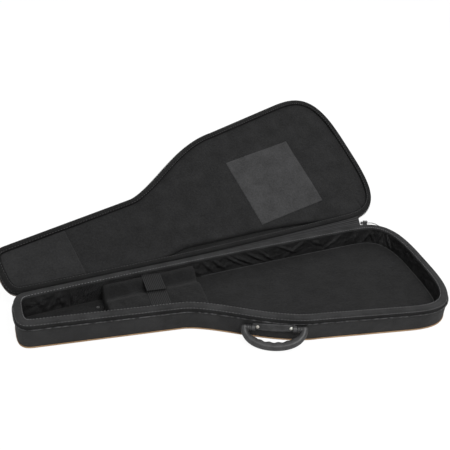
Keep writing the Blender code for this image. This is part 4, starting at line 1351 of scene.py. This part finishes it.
@dataclass
class TrayInside:
    """Inside of the tray: wall lining with its folds, floor pads, cradle, strap and pull tab."""

    shell: Shell
    wall_inset: float = 0.0151
    wall_face: float = 0.0172
    wall_top: float = -0.0030
    wall_edge: float = 0.0006
    wall_ripples: tuple[Ripple, ...] = (Ripple(0.0010, 0.045, 31, 2.0), Ripple(0.0005, 0.015, 32, 1.5))
    relief_limits: tuple[float, float] = (-0.0008, 0.0052)
    floor_low: float = 0.0071
    floor_top: float = 0.0141
    floor_ripples: tuple[Ripple, ...] = (Ripple(0.0006, 0.16, 41), Ripple(0.0002, 0.03, 42))
    pad_inset: float = 0.0176
    pad_gap: float = 0.0005
    body_edge: float = 0.0060
    neck_edge: float = 0.0050
    bead_start: float = 0.020
    bead_inset: float = 0.0024
    bead_rise: float = 0.0002
    bead_radius: float = 0.0009
    cradle_head: float = 0.203
    cradle_body: float = 0.430
    cradle_far: float = 0.0550
    cradle_near: float = 0.0500
    trough_floor: float = 0.0380
    trough_near: float = 0.034
    trough_far: float = 0.030
    trough_station: float = 0.25
    trough_y: float = 0.035
    cradle_seat: float = 0.0003
    cradle_edge: float = 0.0110
    cradle_swell: float = 0.0012
    cradle_ripples: tuple[Ripple, ...] = (Ripple(0.0009, 0.07, 51), Ripple(0.0004, 0.022, 52))
    strap_station: float = 0.3215
    strap_width: float = 0.048
    strap: float = 0.0018
    strap_pressed: float = 0.62
    strap_sag: float = 0.0012
    strap_rib: float = 0.00012
    strap_rib_pitch: float = 0.0026
    strap_edge: float = 0.0003
    strap_edge_share: float = 0.05
    cradle_name: str = "cradle_fleece"
    neck_name: str = "neck_floor_fleece"
    ribs_start: float = 0.215
    ribs_end: float = 0.128
    ribs_rise: float = 0.010
    ribs_fall: float = 0.004
    rib_pitch: float = 0.0075
    rib_depth: float = 0.0011
    rib_lean: float = 0.55
    folds: tuple[Fold, ...] = (
        Fold(0.128, 0.00, 0.0022, 0.0042, reach=0.030), Fold(0.060, 0.4, 0.0070, 0.0030),
        Fold(0.090, -0.5, 0.0060, 0.0034), Fold(0.105, 0.3, 0.0050, 0.0030), Fold(0.35, 0.5, 0.0070, 0.0026),
        Fold(0.43, 1.2, 0.0070, 0.0030), Fold(0.47, 0.8, 0.0060, 0.0034), Fold(0.50, 1.0, 0.0065, 0.0040),
        Fold(0.535, 1.4, 0.0060, 0.0048, 0.042), Fold(0.565, 1.6, 0.0065, 0.0050),
        Fold(0.60, 1.5, 0.0060, 0.0048), Fold(0.635, 1.2, 0.0055, 0.0040, 0.028),
        Fold(0.68, 1.8, 0.0080, 0.0034, 0.045), Fold(0.72, -1.4, 0.0090, 0.0028, 0.045),
        Fold(0.77, 1.6, 0.0080, 0.0026, 0.045), Fold(0.82, -1.2, 0.0080, 0.0024),
        Fold(0.888, 0.0, 0.0024, 0.0040, reach=0.030), Fold(0.925, -0.5, 0.0050, 0.0040),
        Fold(0.945, 0.5, 0.0050, 0.0040), Fold(0.965, -0.4, 0.0055, 0.0045), Fold(0.985, 0.6, 0.0060, 0.0040),
        Fold(0.45, 0.3, 0.0060, 0.0020, far=False), Fold(0.75, -0.5, 0.0070, 0.0022, far=False),
        Fold(0.93, 0.4, 0.0060, 0.0040, far=False), Fold(0.97, -0.5, 0.0060, 0.0040, far=False),
    )

    def lining(self) -> bpy.types.Object:
        """Wall lining: an upright band whose inner face carries leaning creases and soft waves.

        Returns:
            The new piece.
        """
        outline = self.shell.outline
        track = outline.ring(1500)
        inset, height, weight = band_section(self.wall_face, self.wall_inset, self.floor_low - self.shell.rim,
                                             self.wall_top, 26, self.wall_edge)
        above = self.shell.rim + height[None]
        relief = uneven(track.arc[:, None], above, self.wall_ripples)
        start, end = outline.far_arc(self.ribs_start), outline.far_arc(self.ribs_end)
        ribbed = smooth((track.arc - start) / self.ribs_rise) * smooth((end - track.arc) / self.ribs_fall)
        slant = track.arc[:, None] + self.rib_lean * above
        relief = relief + self.rib_depth * ribbed[:, None] * np.sin(2 * math.pi * slant / self.rib_pitch)
        for fold in self.folds:
            relief = relief + fold.relief(outline, track.arc, above)
        relief = np.clip(relief, *self.relief_limits)
        grid = self.shell.carry(track, inset + weight * relief, height, Half.TRAY)
        return grid_piece("tray_lining_cloth", grid, along=True, sharp=80)

    def floor_relief(self, x: Array, y: Array) -> Array:
        """Height of the floor pads: flat with slow dips and swells."""
        return self.floor_top + uneven(x, y, self.floor_ripples)

    def floor_pads(self, finishes: Wardrobe) -> None:
        """The two fleece pads on the floor, cut at the cradle's body end.

        Args:
            finishes: The bag's finishes.
        """
        split = self.shell.outline.x_of(self.cradle_body)
        body = Slab(self.shell.outline, self.pad_inset, self.floor_low, self.floor_relief, self.body_edge,
                    x_low=split + self.pad_gap, rows=240, columns=110)
        made = body.piece("body_floor_fleece", self.shell, None)
        piece = finishes.fit(made, "floor_fleece", "tray", "fleece", "body_floor_pad")
        finishes.fit(self.pad_edge(), "pad_edge_cloth", "tray", "fleece")
        neck = Slab(self.shell.outline, self.pad_inset, self.floor_low, self.floor_relief, self.neck_edge,
                    x_high=split - self.pad_gap, rows=160, columns=50)
        made = neck.piece(self.neck_name, self.shell, None)
        piece = finishes.fit(made, "floor_fleece", "tray", "fleece", "neck_floor_pad")

    def pad_edge(self) -> bpy.types.Object:
        """Thin turned edge round the body pad: a round bead carried along the pad's border.

        Returns:
            The new piece.
        """
        outline = self.shell.outline
        station = self.cradle_body + self.bead_start
        track = outline.run(outline.near_arc(station), outline.far_arc(station), 700)
        turn = full_turn(8)
        inset = self.pad_inset + self.bead_inset + self.bead_radius * np.cos(turn)
        height = self.floor_top - self.shell.rim + self.bead_rise + self.bead_radius * np.sin(turn)
        grid = self.shell.carry(track, inset, height, Half.TRAY)
        return grid_piece("body_floor_edge", grid, along=False, sharp=180)

    def cradle_top(self, x: Array, y: Array) -> Array:
        """Top of the cradle: a trough along the hinge side with a shoulder at each side of it.

        The cover swells and ripples, but for where the strap presses it flat.

        Args:
            x: Places along the bag.
            y: Places across the bag.

        Returns:
            Heights above the ground.
        """
        outline = self.shell.outline
        slope = (outline.far_tail - outline.far_head) / outline.length
        cosine = 1.0 / math.hypot(1.0, slope)
        across = (y - self.trough_y - slope * (x - outline.x_of(self.trough_station))) * cosine

        def shoulder(top: float, distance: Array) -> Array:
            """Half a cosine that climbs from the trough's floor to a top as the distance goes from 0 to 1."""
            return (top - self.trough_floor) * (1 - np.cos(math.pi * np.clip(distance, 0, 1))) / 2

        near = shoulder(self.cradle_near, -across / self.trough_near)
        far = shoulder(self.cradle_far, across / self.trough_far)
        from_strap = (x - outline.x_of(self.strap_station)) / (self.strap_width * self.strap_pressed)
        free = 1 - np.exp(-from_strap ** 6)
        return self.trough_floor + near + far + (uneven(x, y, self.cradle_ripples) + self.cradle_swell) * free

    def cradle(self) -> bpy.types.Object:
        """The neck cradle: a padded block with round edges and a shallow trough.

        Returns:
            The new piece.
        """
        outline = self.shell.outline
        slab = Slab(outline, self.pad_inset, self.floor_top + self.cradle_seat, self.cradle_top,
                    self.cradle_edge, x_low=outline.x_of(self.cradle_head),
                    x_high=outline.x_of(self.cradle_body), rows=150, columns=110, squeeze=0.8)
        return slab.piece(self.cradle_name, self.shell, None)

    def webbing(self, name: str, x: tuple[float, float], y: tuple[float, float], level: float,
                sag: float) -> bpy.types.Object:
        """A flat webbing strap across the cradle.

        Args:
            name: Name of the object.
            x: Its two edges along the bag.
            y: Its two ends across the bag.
            level: Height of its underside.
            sag: How far its middle hangs.

        Returns:
            The strap, a closed grid with raised edges and ribs of 0.1 mm.
        """
        along, share = np.meshgrid(np.linspace(*y, 90), np.linspace(0.0, 1.0, 30), indexing="ij")
        px = x[0] + (x[1] - x[0]) * share
        under = level - sag * np.sin(math.pi * np.clip((along - y[0]) / (y[1] - y[0]), 0, 1)) ** 2
        ribs = self.strap_rib * np.sin(2 * math.pi * along / self.strap_rib_pitch)
        from_edge = np.minimum(share, 1 - share)
        edges = self.strap_edge * np.exp(-(from_edge / self.strap_edge_share) ** 2)
        thick = self.strap * np.minimum(1.0, 0.55 + 8.0 * from_edge)
        top = np.stack([px, along, under + thick + ribs + edges], -1)
        grid = top_and_bottom(top, np.stack([px, along, under], -1))
        return grid_piece(name, grid, along=False, slab_caps=True)

    def strap_pieces(self, finishes: Wardrobe) -> None:
        """Both strap halves and the pull tab, each as large as its solid.

        Args:
            finishes: The bag's finishes.
        """
        halves = (("strap_lower_half", "strap_lower_webbing", "tray", 0.0),
                  ("strap_upper_half", "strap_upper_webbing", "strap flap", self.strap_sag))
        for name, made, body, sag in halves:
            low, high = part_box(name)
            piece = self.webbing(made, (low.x, high.x), (low.y, high.y), low.z, sag)
            finishes.fit(piece, "strap_webbing", body, "webbing", name)
            finishes.cloth(piece, "laid", high.y - low.y, [self.cradle_name])
        low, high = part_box("pull_tab")
        piece = self.webbing("pull_tab_webbing", (low.x, high.x), (low.y, high.y), low.z, 0.0)
        finishes.fit(piece, "strap_webbing", "tray", "webbing", "pull_tab")
        finishes.cloth(piece, "laid", high.x - low.x, [self.neck_name])

    def build(self, finishes: Wardrobe) -> None:
        """Makes and dresses everything inside the tray.

        Args:
            finishes: The bag's finishes.
        """
        lining = finishes.fit(self.lining(), "lining_cloth", "tray", "lining cloth", "tray_wall_lining")
        finishes.cloth(lining, "gathered", self.shell.outline.total)
        self.floor_pads(finishes)
        # The cradle's finish is a darker copy of the floor fleece, which is painted shade.
        piece = finishes.fit(self.cradle(), "cradle_cover_painted_shade", "tray", "fleece", "neck_cradle")
        self.strap_pieces(finishes)


@dataclass
class LidInside:
    """Inside of the lid: fleece panel, the groove beside the hinge, square patch and head patch."""

    shell: Shell
    inset: float = 0.0108
    recess: float = 0.0070
    back: float = 0.0247
    strip: float = 0.0215
    strip_start: float = 0.34
    strip_end: float = 0.46
    closes_start: float = 0.62
    closes_end: float = 0.93
    groove_margin: float = 0.0006
    groove_least: float = 0.0004
    groove_seat: float = 0.0001
    groove_cloth: float = 0.0003
    panel_edge: float = 0.0080
    ripples: tuple[Ripple, ...] = (Ripple(0.0010, 0.22, 61), Ripple(0.0005, 0.06, 62))
    sunk: float = 0.0004
    patch_size: float = 0.203
    patch_station: float = 0.746
    patch_y: float = 0.0155
    patch_turn: float = math.radians(-0.5)
    patch: float = 0.0013
    patch_hem: float = 0.0001
    patch_seat: float = 0.0002
    patch_edge: float = 0.0040
    head_patch_station: float = 0.181
    head_patch_inset: float = 0.0039
    head_patch_low: float = 0.0012
    head_patch_edge: float = 0.0030
    head_patch_cloth: float = 0.0016
    head_patch_lift: float = 0.0012
    head_patch_curl: float = 0.012
    dart_station: float = 0.937
    dart_start: float = 0.148
    dart_run: float = 0.012
    dart_width: float = 0.0032
    dart_depth: float = 0.0030

    def narrow(self, x: Array) -> Array:
        """How far the panel's edge is drawn in from the hinge side, over the body.

        Args:
            x: Places along the bag.

        Returns:
            Distances in metres.
        """
        station = x / self.shell.outline.length + 0.5
        opens = smooth((station - self.strip_start) / (self.strip_end - self.strip_start))
        closes = smooth((station - self.closes_start) / (self.closes_end - self.closes_start))
        return self.strip * opens * (1.0 - closes)

    def relief(self, x: Array, y: Array) -> Array:
        """Local height of the panel: slow hollows, with a short dart at the body end of the hinge side.

        Args:
            x: Places along the bag.
            y: Places across the bag.

        Returns:
            Local heights.
        """
        place = x - self.shell.outline.x_of(self.dart_station)
        dart = np.exp(-(place / self.dart_width) ** 2) * smooth((y - self.dart_start) / self.dart_run)
        return uneven(x, y, self.ripples) - self.recess - self.sunk - self.dart_depth * dart

    def panel(self) -> bpy.types.Object:
        """The fleece panel, one soft slab that stands for the lining and the pad under it.

        Returns:
            The new piece.
        """
        slab = Slab(self.shell.outline, self.inset, -self.back, self.relief, self.panel_edge,
                    narrow_far=self.narrow, rows=330, columns=120)
        return slab.piece("lid_fleece_panel", self.shell, Half.LID)

    def groove(self) -> bpy.types.Object:
        """Dark lining at the bottom of the groove beside the hinge.

        Returns:
            The new piece.
        """
        outline = self.shell.outline
        track = outline.run(outline.far_arc(self.closes_end), outline.far_arc(self.strip_start), 260)
        share = np.linspace(0.0, 1.0, 9)
        width = np.maximum(self.narrow(track.place[:, :1]) - self.groove_margin, self.groove_least)
        inset = self.inset + self.groove_seat + width * share
        under = np.full(len(share), -self.back - self.groove_seat)
        top = self.shell.carry(track, inset, under + self.groove_cloth, Half.LID)
        bottom = self.shell.carry(track, inset, under, Half.LID)
        return grid_piece("lid_groove_lining", top_and_bottom(top, bottom), along=False, slab_caps=True)

    def square_patch(self) -> bpy.types.Object:
        """The square patch: a thin sewn cloth with a soft edge that follows the panel.

        Returns:
            The new piece.
        """
        half = self.patch_size / 2
        side = -half * np.cos(np.linspace(0.0, math.pi, 60))
        a, b = np.meshgrid(side, side, indexing="ij")
        cosine, sine = math.cos(self.patch_turn), math.sin(self.patch_turn)
        x = self.shell.outline.x_of(self.patch_station) + a * cosine - b * sine
        y = self.patch_y + a * sine + b * cosine
        edge = half - np.maximum(np.abs(a), np.abs(b))
        lift = self.patch * np.sqrt(1.0 - (1.0 - np.clip(edge / self.patch_edge, 0.0, 1.0)) ** 2)
        under = self.relief(x, y) + self.patch_seat
        top = np.stack([x, y, under + self.patch_hem + lift], -1)
        bottom = np.stack([x, y, under], -1)
        grid = self.shell.place(top_and_bottom(top, bottom), Half.LID)
        return grid_piece("lid_square_patch_cloth", grid, along=False, slab_caps=True)

    def head_patch(self) -> bpy.types.Object:
        """The smoother patch at the head end, its body edge free and slightly raised.

        Returns:
            The new piece.
        """
        outline = self.shell.outline
        limit = outline.x_of(self.head_patch_station)

        def top(x: Array, y: Array) -> Array:
            """Panel height, the patch's thickness, and a lift along its free edge."""
            lift = self.head_patch_lift * np.exp(-((limit - x) / self.head_patch_curl) ** 2)
            return self.relief(x, y) + self.head_patch_cloth + lift

        slab = Slab(outline, self.inset + self.head_patch_inset, -self.recess - self.head_patch_low, top,
                    self.head_patch_edge, x_high=limit, rows=110, columns=60)
        return slab.piece("lid_head_patch_cloth", self.shell, Half.LID)

    def build(self, finishes: Wardrobe) -> None:
        """Makes and dresses the inside of the lid.

        Args:
            finishes: The bag's finishes.
        """
        piece = finishes.fit(self.panel(), "lid_fleece", "lid", "fleece", "lid_lining", "lid_pad")
        groove = finishes.fit(self.groove(), "lining_cloth", "lid", "lining cloth")
        length = self.shell.outline.length
        finishes.cloth(groove, "stretched", length * (self.closes_end - self.strip_start))
        patch = finishes.fit(self.square_patch(), "patch_cloth", "lid", "patch cloth", "lid_square_patch")
        finishes.cloth(patch, "laid", self.patch_size, [piece.name])
        patch = finishes.fit(self.head_patch(), "head_patch_cloth", "lid", "patch cloth", "lid_head_patch")
        finishes.cloth(patch, "laid", length * self.head_patch_station, [piece.name])


@dataclass
class HingeGusset:
    """Ribbed fabric gusset that joins the two rims along the hinge side and bends as the lid turns.

    It sags by a fixed length and a share of the distance between the rims.
    """

    shell: Shell
    start: float = 0.130
    end: float = 0.911
    attach: float = 0.0012
    drop: float = 0.0042
    sag: float = 0.0035
    sag_share: float = 0.10
    slack: float = 0.35
    ribs: int = 3
    rib: float = 0.0005
    lift: float = 0.0012
    cloth: float = 0.0009

    def build(self, finishes: Wardrobe) -> None:
        """Makes the gusset: each row runs from the tray's rim to the lid's with a sag across the hinge.

        Args:
            finishes: The bag's finishes.
        """
        outline = self.shell.outline
        track = outline.run(outline.far_arc(self.end), outline.far_arc(self.start), 420)
        first, last = (self.shell.line(track, -self.attach, -self.drop, half)[:, None] for half in Half)
        share = np.linspace(0.0, 1.0, 15)[None, :, None]
        span = np.linalg.norm(last - first, axis=2)[..., None]
        down = np.array([0.0, 0.0, -1.0])
        ribs = self.rib * np.sin(2 * math.pi * self.ribs * share)
        fall = self.slack * (self.sag + self.sag_share * span) - ribs - self.lift
        upper = first + (last - first) * share + down * fall * np.sin(math.pi * share)
        grid = top_and_bottom(upper, upper + down * self.cloth)
        piece = grid_piece("hinge_gusset_cloth", grid, along=False, slab_caps=True)
        finishes.dress(piece, "gusset_webbing")
        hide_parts("hinge_leaf_tray", "hinge_leaf_lid")
        finishes.cloth(piece, "stretched", self.shell.outline.length * (self.end - self.start))
        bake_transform(piece)
        LOG.info("hinge gusset: %d faces", len(piece.data.polygons))


@dataclass
class CarryHandle:
    """Carrying handle: mount plate that follows the wall, domed rivets and the swinging bail.

    The grip's extra depth, its flatness and the depth of the finger grooves are shares of its radius.
    """

    shell: Shell
    station: float = 0.549
    slope: float = math.tan(math.radians(3.5))
    plate_length: float = 0.105
    plate_height: float = 0.0205
    plate_narrows: float = 0.28
    plate_end: float = 0.0015
    plate_corner: float = 0.0050
    plate_power: float = 0.28
    plate_off: float = 0.0004
    plate: float = 0.0040
    dish: float = 0.0007
    dish_high: float = 0.72
    dish_reach: float = 0.046
    pivot_height: float = 0.0368
    pivot_out: float = 0.0086
    boss_radius: float = 0.0068
    boss_length: float = 0.0085
    barrel_length: float = 0.0235
    barrel_radius: float = 0.0066
    barrel_gap: float = 0.0003
    barrel_rib: float = 0.0007
    barrel_ribs: int = 4
    barrel_round: float = 0.10
    barrel_end: float = 0.72
    half_width: float = 0.0700
    reach: float = 0.0440
    power: float = 2.1
    overrun: float = 0.02
    off_ground: float = 0.0008
    arm_radius: float = 0.0082
    grip_radius: float = 0.0092
    grip_deeper: float = 0.30
    grip_flat: float = 0.94
    finger_pitch: float = 0.0225
    finger_depth: float = 0.17
    hand_half: float = 0.047
    hand_fade: float = 0.008
    rivet_spacing: float = 0.078
    rivet_radius: float = 0.0044
    rivet_out: float = 0.0046
    rivet_edge: float = 0.0004
    rivet_dome: float = 0.0020

    def frame(self) -> tuple[Array, Array, Array, float]:
        """Pivot's middle, its axis, which climbs a little, the way out, and the arc length of the middle.

        Returns:
            The middle, the axis, the way out and the arc length.
        """
        outline = self.shell.outline
        centre = outline.near_arc(self.station)
        a, b = outline.at(np.array([centre - self.plate_length / 2, centre + self.plate_length / 2]))
        along = unit(b - a)
        out = np.array([along[1], -along[0]])
        middle = (a + b) / 2 + out * self.pivot_out
        axis = np.r_[along, self.slope] / math.hypot(1.0, self.slope)
        return np.r_[middle, self.pivot_height], axis, np.r_[out, 0.0], centre

    def mount_plate(self) -> bpy.types.Object:
        """The plate: a tilted band along the wall, narrower and rounded at its ends, with a dished face.

        Returns:
            The new piece.
        """
        _, _, _, centre = self.frame()
        reach = self.plate_length / 2 - self.plate_end
        track = self.shell.outline.run(centre - reach, centre + reach, 90)
        travel = np.abs(track.arc - centre)[:, None]
        high = self.plate_height / 2
        turn = full_turn(48)
        corner_reach = self.plate_corner * 1.04
        into_corner = np.clip((travel - (reach - self.plate_corner)) / corner_reach, 0.0, 1.0)
        ends = 0.80 + 0.20 * np.sqrt(1.0 - into_corner ** 2)
        height = high * super_power(np.sin(turn), self.plate_power) * ends
        thick = self.plate / 2 * super_power(np.cos(turn), self.plate_power)
        front = np.clip(np.cos(turn), 0.0, 1.0) ** 0.25
        dished = np.exp(-(np.abs(height) / high / self.dish_high) ** 8 - (travel / self.dish_reach) ** 10)
        inset = self.dish * front * dished - self.plate_off - self.plate / 2 - thick
        height = height * (1.0 - self.plate_narrows * (2 * travel / self.plate_length) ** 2)
        local = self.pivot_height + height + self.slope * (track.arc - centre)[:, None] - self.shell.rim
        grid = self.shell.carry(track, inset, local, Half.TRAY)
        return grid_piece("handle_plate_moulding", grid, along=False)

    def barrel(self, name: str, start: float, end: float, radius: float, ribs: int) -> bpy.types.Object:
        """A ribbed barrel about the pivot's axis, a turned profile with round ends.

        Args:
            name: Name of the object.
            start: Nearer end along the axis.
            end: Further end along the axis.
            radius: Radius between the ribs.
            ribs: Number of ribs, or none for a smooth one.

        Returns:
            The barrel.
        """
        middle, along, out, _ = self.frame()
        share = np.linspace(0.0, 1.0, 60)
        rib = self.barrel_rib * (0.5 - 0.5 * np.cos(2 * math.pi * ribs * share))
        beyond = np.clip((np.abs(2 * share - 1.0) - 1.0 + self.barrel_round) / self.barrel_round, 0.0, 1.0)
        profile = (radius + rib) * (self.barrel_end + (1.0 - self.barrel_end) * np.sqrt(1.0 - beyond ** 2))
        profile[0] = profile[-1] = 0.0
        turn = full_turn(36)
        place = start + (end - start) * share
        up = np.cross(out, along)
        ring = out * np.cos(turn)[:, None] - up * np.sin(turn)[:, None]
        grid = middle + along * place[:, None, None] + ring[None] * profile[:, None, None]
        return grid_piece(name, grid, along=False, sharp=50)

    def bail(self) -> bpy.types.Object:
        """The bail: a superellipse arc with an oval section, thicker at the grip, with finger grooves.

        Returns:
            The new piece.
        """
        middle, along, out, _ = self.frame()
        droop = math.asin((self.pivot_height - self.grip_radius - self.off_ground) / self.reach)
        reach_way = out * math.cos(droop) - np.cross(along, -out) * math.sin(droop)
        lift_way = np.cross(reach_way, along)
        turn = np.linspace(-self.overrun, 1.0 + self.overrun, 240) * math.pi
        power = 2.0 / self.power
        path = np.stack([self.half_width * super_power(np.cos(turn), power),
                         self.reach * super_power(np.sin(turn), power)], 1)
        walked = np.r_[0.0, np.cumsum(np.linalg.norm(np.diff(path, axis=0), axis=1))]
        even = np.linspace(0.0, walked[-1], 220)
        path = np.stack([np.interp(even, walked, path[:, axis]) for axis in (0, 1)], 1)
        heading = unit(np.gradient(path, axis=0))
        inward = np.stack([-heading[:, 1], heading[:, 0]], 1)
        inward *= np.sign((inward * -path).sum(1))[:, None]
        share = smooth((path[:, 1] / self.reach - 0.35) / 0.5)
        radius = self.arm_radius + (self.grip_radius - self.arm_radius) * share
        angle = full_turn(28)
        inner = np.clip(np.cos(angle), 0.0, 1.0)
        groove = 0.5 + 0.5 * np.cos(2 * math.pi * path[:, 0] / self.finger_pitch)
        hand = smooth((self.hand_half - np.abs(path[:, 0])) / self.hand_fade) * share
        swell = radius[:, None] * (1.0 - self.finger_depth * inner ** 1.5 * (groove * hand)[:, None])
        across = swell * (1.0 + self.grip_deeper * share[:, None] * inner) * np.cos(angle)
        lift = swell * np.sin(angle) * self.grip_flat
        flat = path[:, None] + inward[:, None] * across[..., None]
        grid = middle + along * flat[..., :1] + reach_way * flat[..., 1:] + lift_way * lift[..., None]
        return grid_piece("handle_bail_moulding", grid, along=False, sharp=60)

    def rivet(self, name: str, sign: float) -> bpy.types.Object:
        """A domed rivet head: a quarter-ellipse profile turned about the wall's normal.

        Args:
            name: Name of the object.
            sign: -1 for the left and 1 for the right.

        Returns:
            The new piece.
        """
        _, _, _, centre = self.frame()
        away = sign * self.rivet_spacing / 2
        track = self.shell.outline.track(np.array([centre + away]))
        out = np.r_[track.normal[0], 0.0]
        spot = np.r_[track.place[0], self.pivot_height + away * self.slope] + out * self.rivet_out
        turn = np.linspace(0.0, math.pi / 2, 12)
        radius = np.r_[0.0, self.rivet_radius, self.rivet_radius * np.cos(turn)]
        dome = np.r_[0.0, 0.0, self.rivet_edge + self.rivet_dome * np.sin(turn)]
        angle = full_turn(36)
        side = np.array([-out[1], out[0], 0.0])
        ring = side * np.cos(angle)[:, None] + np.array([0.0, 0.0, 1.0]) * np.sin(angle)[:, None]
        grid = spot + ring[None] * radius[:, None, None] + out * dome[:, None, None]
        return grid_piece(name, grid, along=False, sharp=50)

    def build(self, finishes: Wardrobe) -> None:
        """Makes and dresses the handle.

        Args:
            finishes: The bag's finishes.
        """
        finishes.fit(self.mount_plate(), "plate_plastic", "tray", "moulded", "handle_plate")
        half = self.plate_length / 2
        for side, sign in (("left", -1.0), ("right", 1.0)):
            boss = self.barrel("handle_boss_" + side, sign * (half - self.boss_length), sign * half,
                               self.boss_radius, 0)
            finishes.fit(boss, "plate_plastic", "tray", "moulded")
            collar = self.barrel("handle_collar_" + side, sign * (half + self.barrel_gap),
                                 sign * (half + self.barrel_length), self.barrel_radius, self.barrel_ribs)
            finishes.fit(collar, "handle_plastic", "handle", "moulded")
            finishes.fit(self.rivet("handle_rivet_dome_" + side, sign), "rivet_metal", "tray", "pale metal",
                         "handle_rivet_" + side)
        finishes.fit(self.bail(), "handle_plastic", "handle", "moulded", "handle_bail")


@dataclass(frozen=True)
class Lamp:
    """A square soft light that faces a point: its place, the point, its side in metres and power in watts."""

    name: str
    place: Point
    aim: Point
    size: float
    power: float

    def build(self) -> None:
        """Adds the light to the scene."""
        data = bpy.data.lights.new(self.name, "AREA")
        data.shape = "SQUARE"
        data.size = self.size
        data.energy = self.power
        item = new_object(self.name, data)
        item.location = self.place
        item.rotation_euler = (Vector(self.aim) - Vector(self.place)).to_track_quat("-Z", "Y").to_euler()


@dataclass
class Studio:
    """Pale floor, soft lights and the camera at the photograph's angle."""

    azimuth: float = math.radians(-18.911)
    elevation: float = math.radians(30.413)
    roll: float = math.radians(3.91)
    distance: float = 2.036
    focal: float = 1.936
    sensor: float = 36.0
    target: Point = (-0.032, 0.0, 0.229)
    floor_reach: float = 9.0
    floor_level: float = -0.0006
    floor_grey: float = 0.82
    floor_glow: float = 1.1
    glow_share: float = 0.86
    world_light: float = 0.42
    lamps: tuple[Lamp, ...] = (Lamp("key_light", (0.3, -1.6, 2.3), (0.0, 0.1, 0.0), 1.5, 42.0),
                               Lamp("back_light", (0.6, 1.8, 1.9), (0.0, 0.0, 0.1), 1.6, 13.0))

    def camera(self) -> None:
        """Camera from its heading, height angle and roll about the view."""
        a, e = self.azimuth, self.elevation
        back = Vector((math.sin(a) * math.cos(e), -math.cos(a) * math.cos(e), math.sin(e)))
        right = (-back).cross(Vector((0, 0, 1))).normalized()
        up = right.cross(-back)
        across = right * math.cos(self.roll) + up * math.sin(self.roll)
        above = up * math.cos(self.roll) - right * math.sin(self.roll)
        data = bpy.data.cameras.new("camera")
        data.sensor_fit = "HORIZONTAL"
        data.sensor_width = self.sensor
        data.lens = self.sensor * self.focal
        data.clip_start, data.clip_end = 0.05, 60.0
        item = new_object("camera", data)
        place = Matrix.Translation(Vector(self.target) + back * self.distance)
        item.matrix_world = place @ Matrix((across, above, back)).transposed().to_4x4()
        bpy.context.scene.camera = item

    def floor(self) -> None:
        """A white floor that keeps part of the object's shadow."""
        mesh = bpy.data.meshes.new("studio_floor")
        reach = self.floor_reach
        corners = [(x, y, self.floor_level) for x, y in ((-reach, -reach), (reach, -reach), (reach, reach),
                                                         (-reach, reach))]
        mesh.from_pydata(corners, [], [(0, 1, 2, 3)])
        item = new_object("studio_floor", mesh)
        sheet = NodeSheet("floor_white")
        sheet.shader.inputs["Base Color"].default_value = (*[self.floor_grey] * 3, 1.0)
        sheet.shader.inputs["Roughness"].default_value = 0.9
        glow = sheet.node("ShaderNodeEmission", Strength=self.floor_glow)
        glow.inputs["Color"].default_value = (1.0, 1.0, 1.0, 1.0)
        path, mix = sheet.node("ShaderNodeLightPath"), sheet.node("ShaderNodeMixShader")
        share = sheet.maths("MULTIPLY", path.outputs["Is Camera Ray"], self.glow_share)
        sheet.link(share, mix.inputs["Fac"])
        sheet.link(sheet.shader.outputs["BSDF"], mix.inputs[1])
        sheet.link(glow.outputs["Emission"], mix.inputs[2])
        out = next(n for n in sheet.tree.nodes if n.type == "OUTPUT_MATERIAL")
        sheet.link(mix.outputs["Shader"], out.inputs["Surface"])
        mesh.materials.append(sheet.material)

    def world(self) -> None:
        """Even light from all round, white to the camera."""
        world = bpy.data.worlds.new("studio")
        world.use_nodes = True
        bpy.context.scene.world = world
        tree = world.node_tree
        light = tree.nodes["Background"]
        light.inputs["Color"].default_value = (1.0, 1.0, 1.0, 1.0)
        light.inputs["Strength"].default_value = self.world_light
        white = tree.nodes.new("ShaderNodeBackground")
        white.inputs["Strength"].default_value = 1.0
        path, mix = tree.nodes.new("ShaderNodeLightPath"), tree.nodes.new("ShaderNodeMixShader")
        tree.links.new(path.outputs["Is Camera Ray"], mix.inputs["Fac"])
        tree.links.new(light.outputs["Background"], mix.inputs[1])
        tree.links.new(white.outputs["Background"], mix.inputs[2])
        out = next(n for n in tree.nodes if n.type == "OUTPUT_WORLD")
        tree.links.new(mix.outputs["Shader"], out.inputs["Surface"])

    def build(self) -> None:
        """Sets the whole studio."""
        bpy.context.scene.view_settings.view_transform = "Standard"
        self.camera()
        self.floor()
        self.world()
        for lamp in self.lamps:
            lamp.build()


def dress_solids(finishes: Wardrobe) -> None:
    """Finishes for the solids that keep their own shape.

    Args:
        finishes: The bag's finishes.
    """
    choices = {
        "zip_metal": ("zip_",),
        "steel": ("handle_pin", "handle_backing", "pull_tab_stud"),
        "core_foam": ("tray_foam", "tray_base", "lid_foam", "lid_edge"),
        "lining_cloth": ("strap_hook", "strap_loop"),
    }
    for name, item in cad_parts.items():
        for finish, starts in choices.items():
            if name.startswith(starts):
                finishes.dress(item, finish)


def main() -> None:
    """Builds the bag piece by piece, then the studio."""
    logging.basicConfig(level=logging.INFO, format="%(message)s")
    Studio().build()
    finishes = Wardrobe()
    shell = Shell(BagOutline())
    dress_solids(finishes)
    for half in Half:
        OuterShell(shell, half).build(finishes)
        Rim.of(shell, half).build(finishes)
    TrayInside(shell).build(finishes)
    LidInside(shell).build(finishes)
    HingeGusset(shell).build(finishes)
    CarryHandle(shell).build(finishes)


if __name__ == "__main__":
    main()
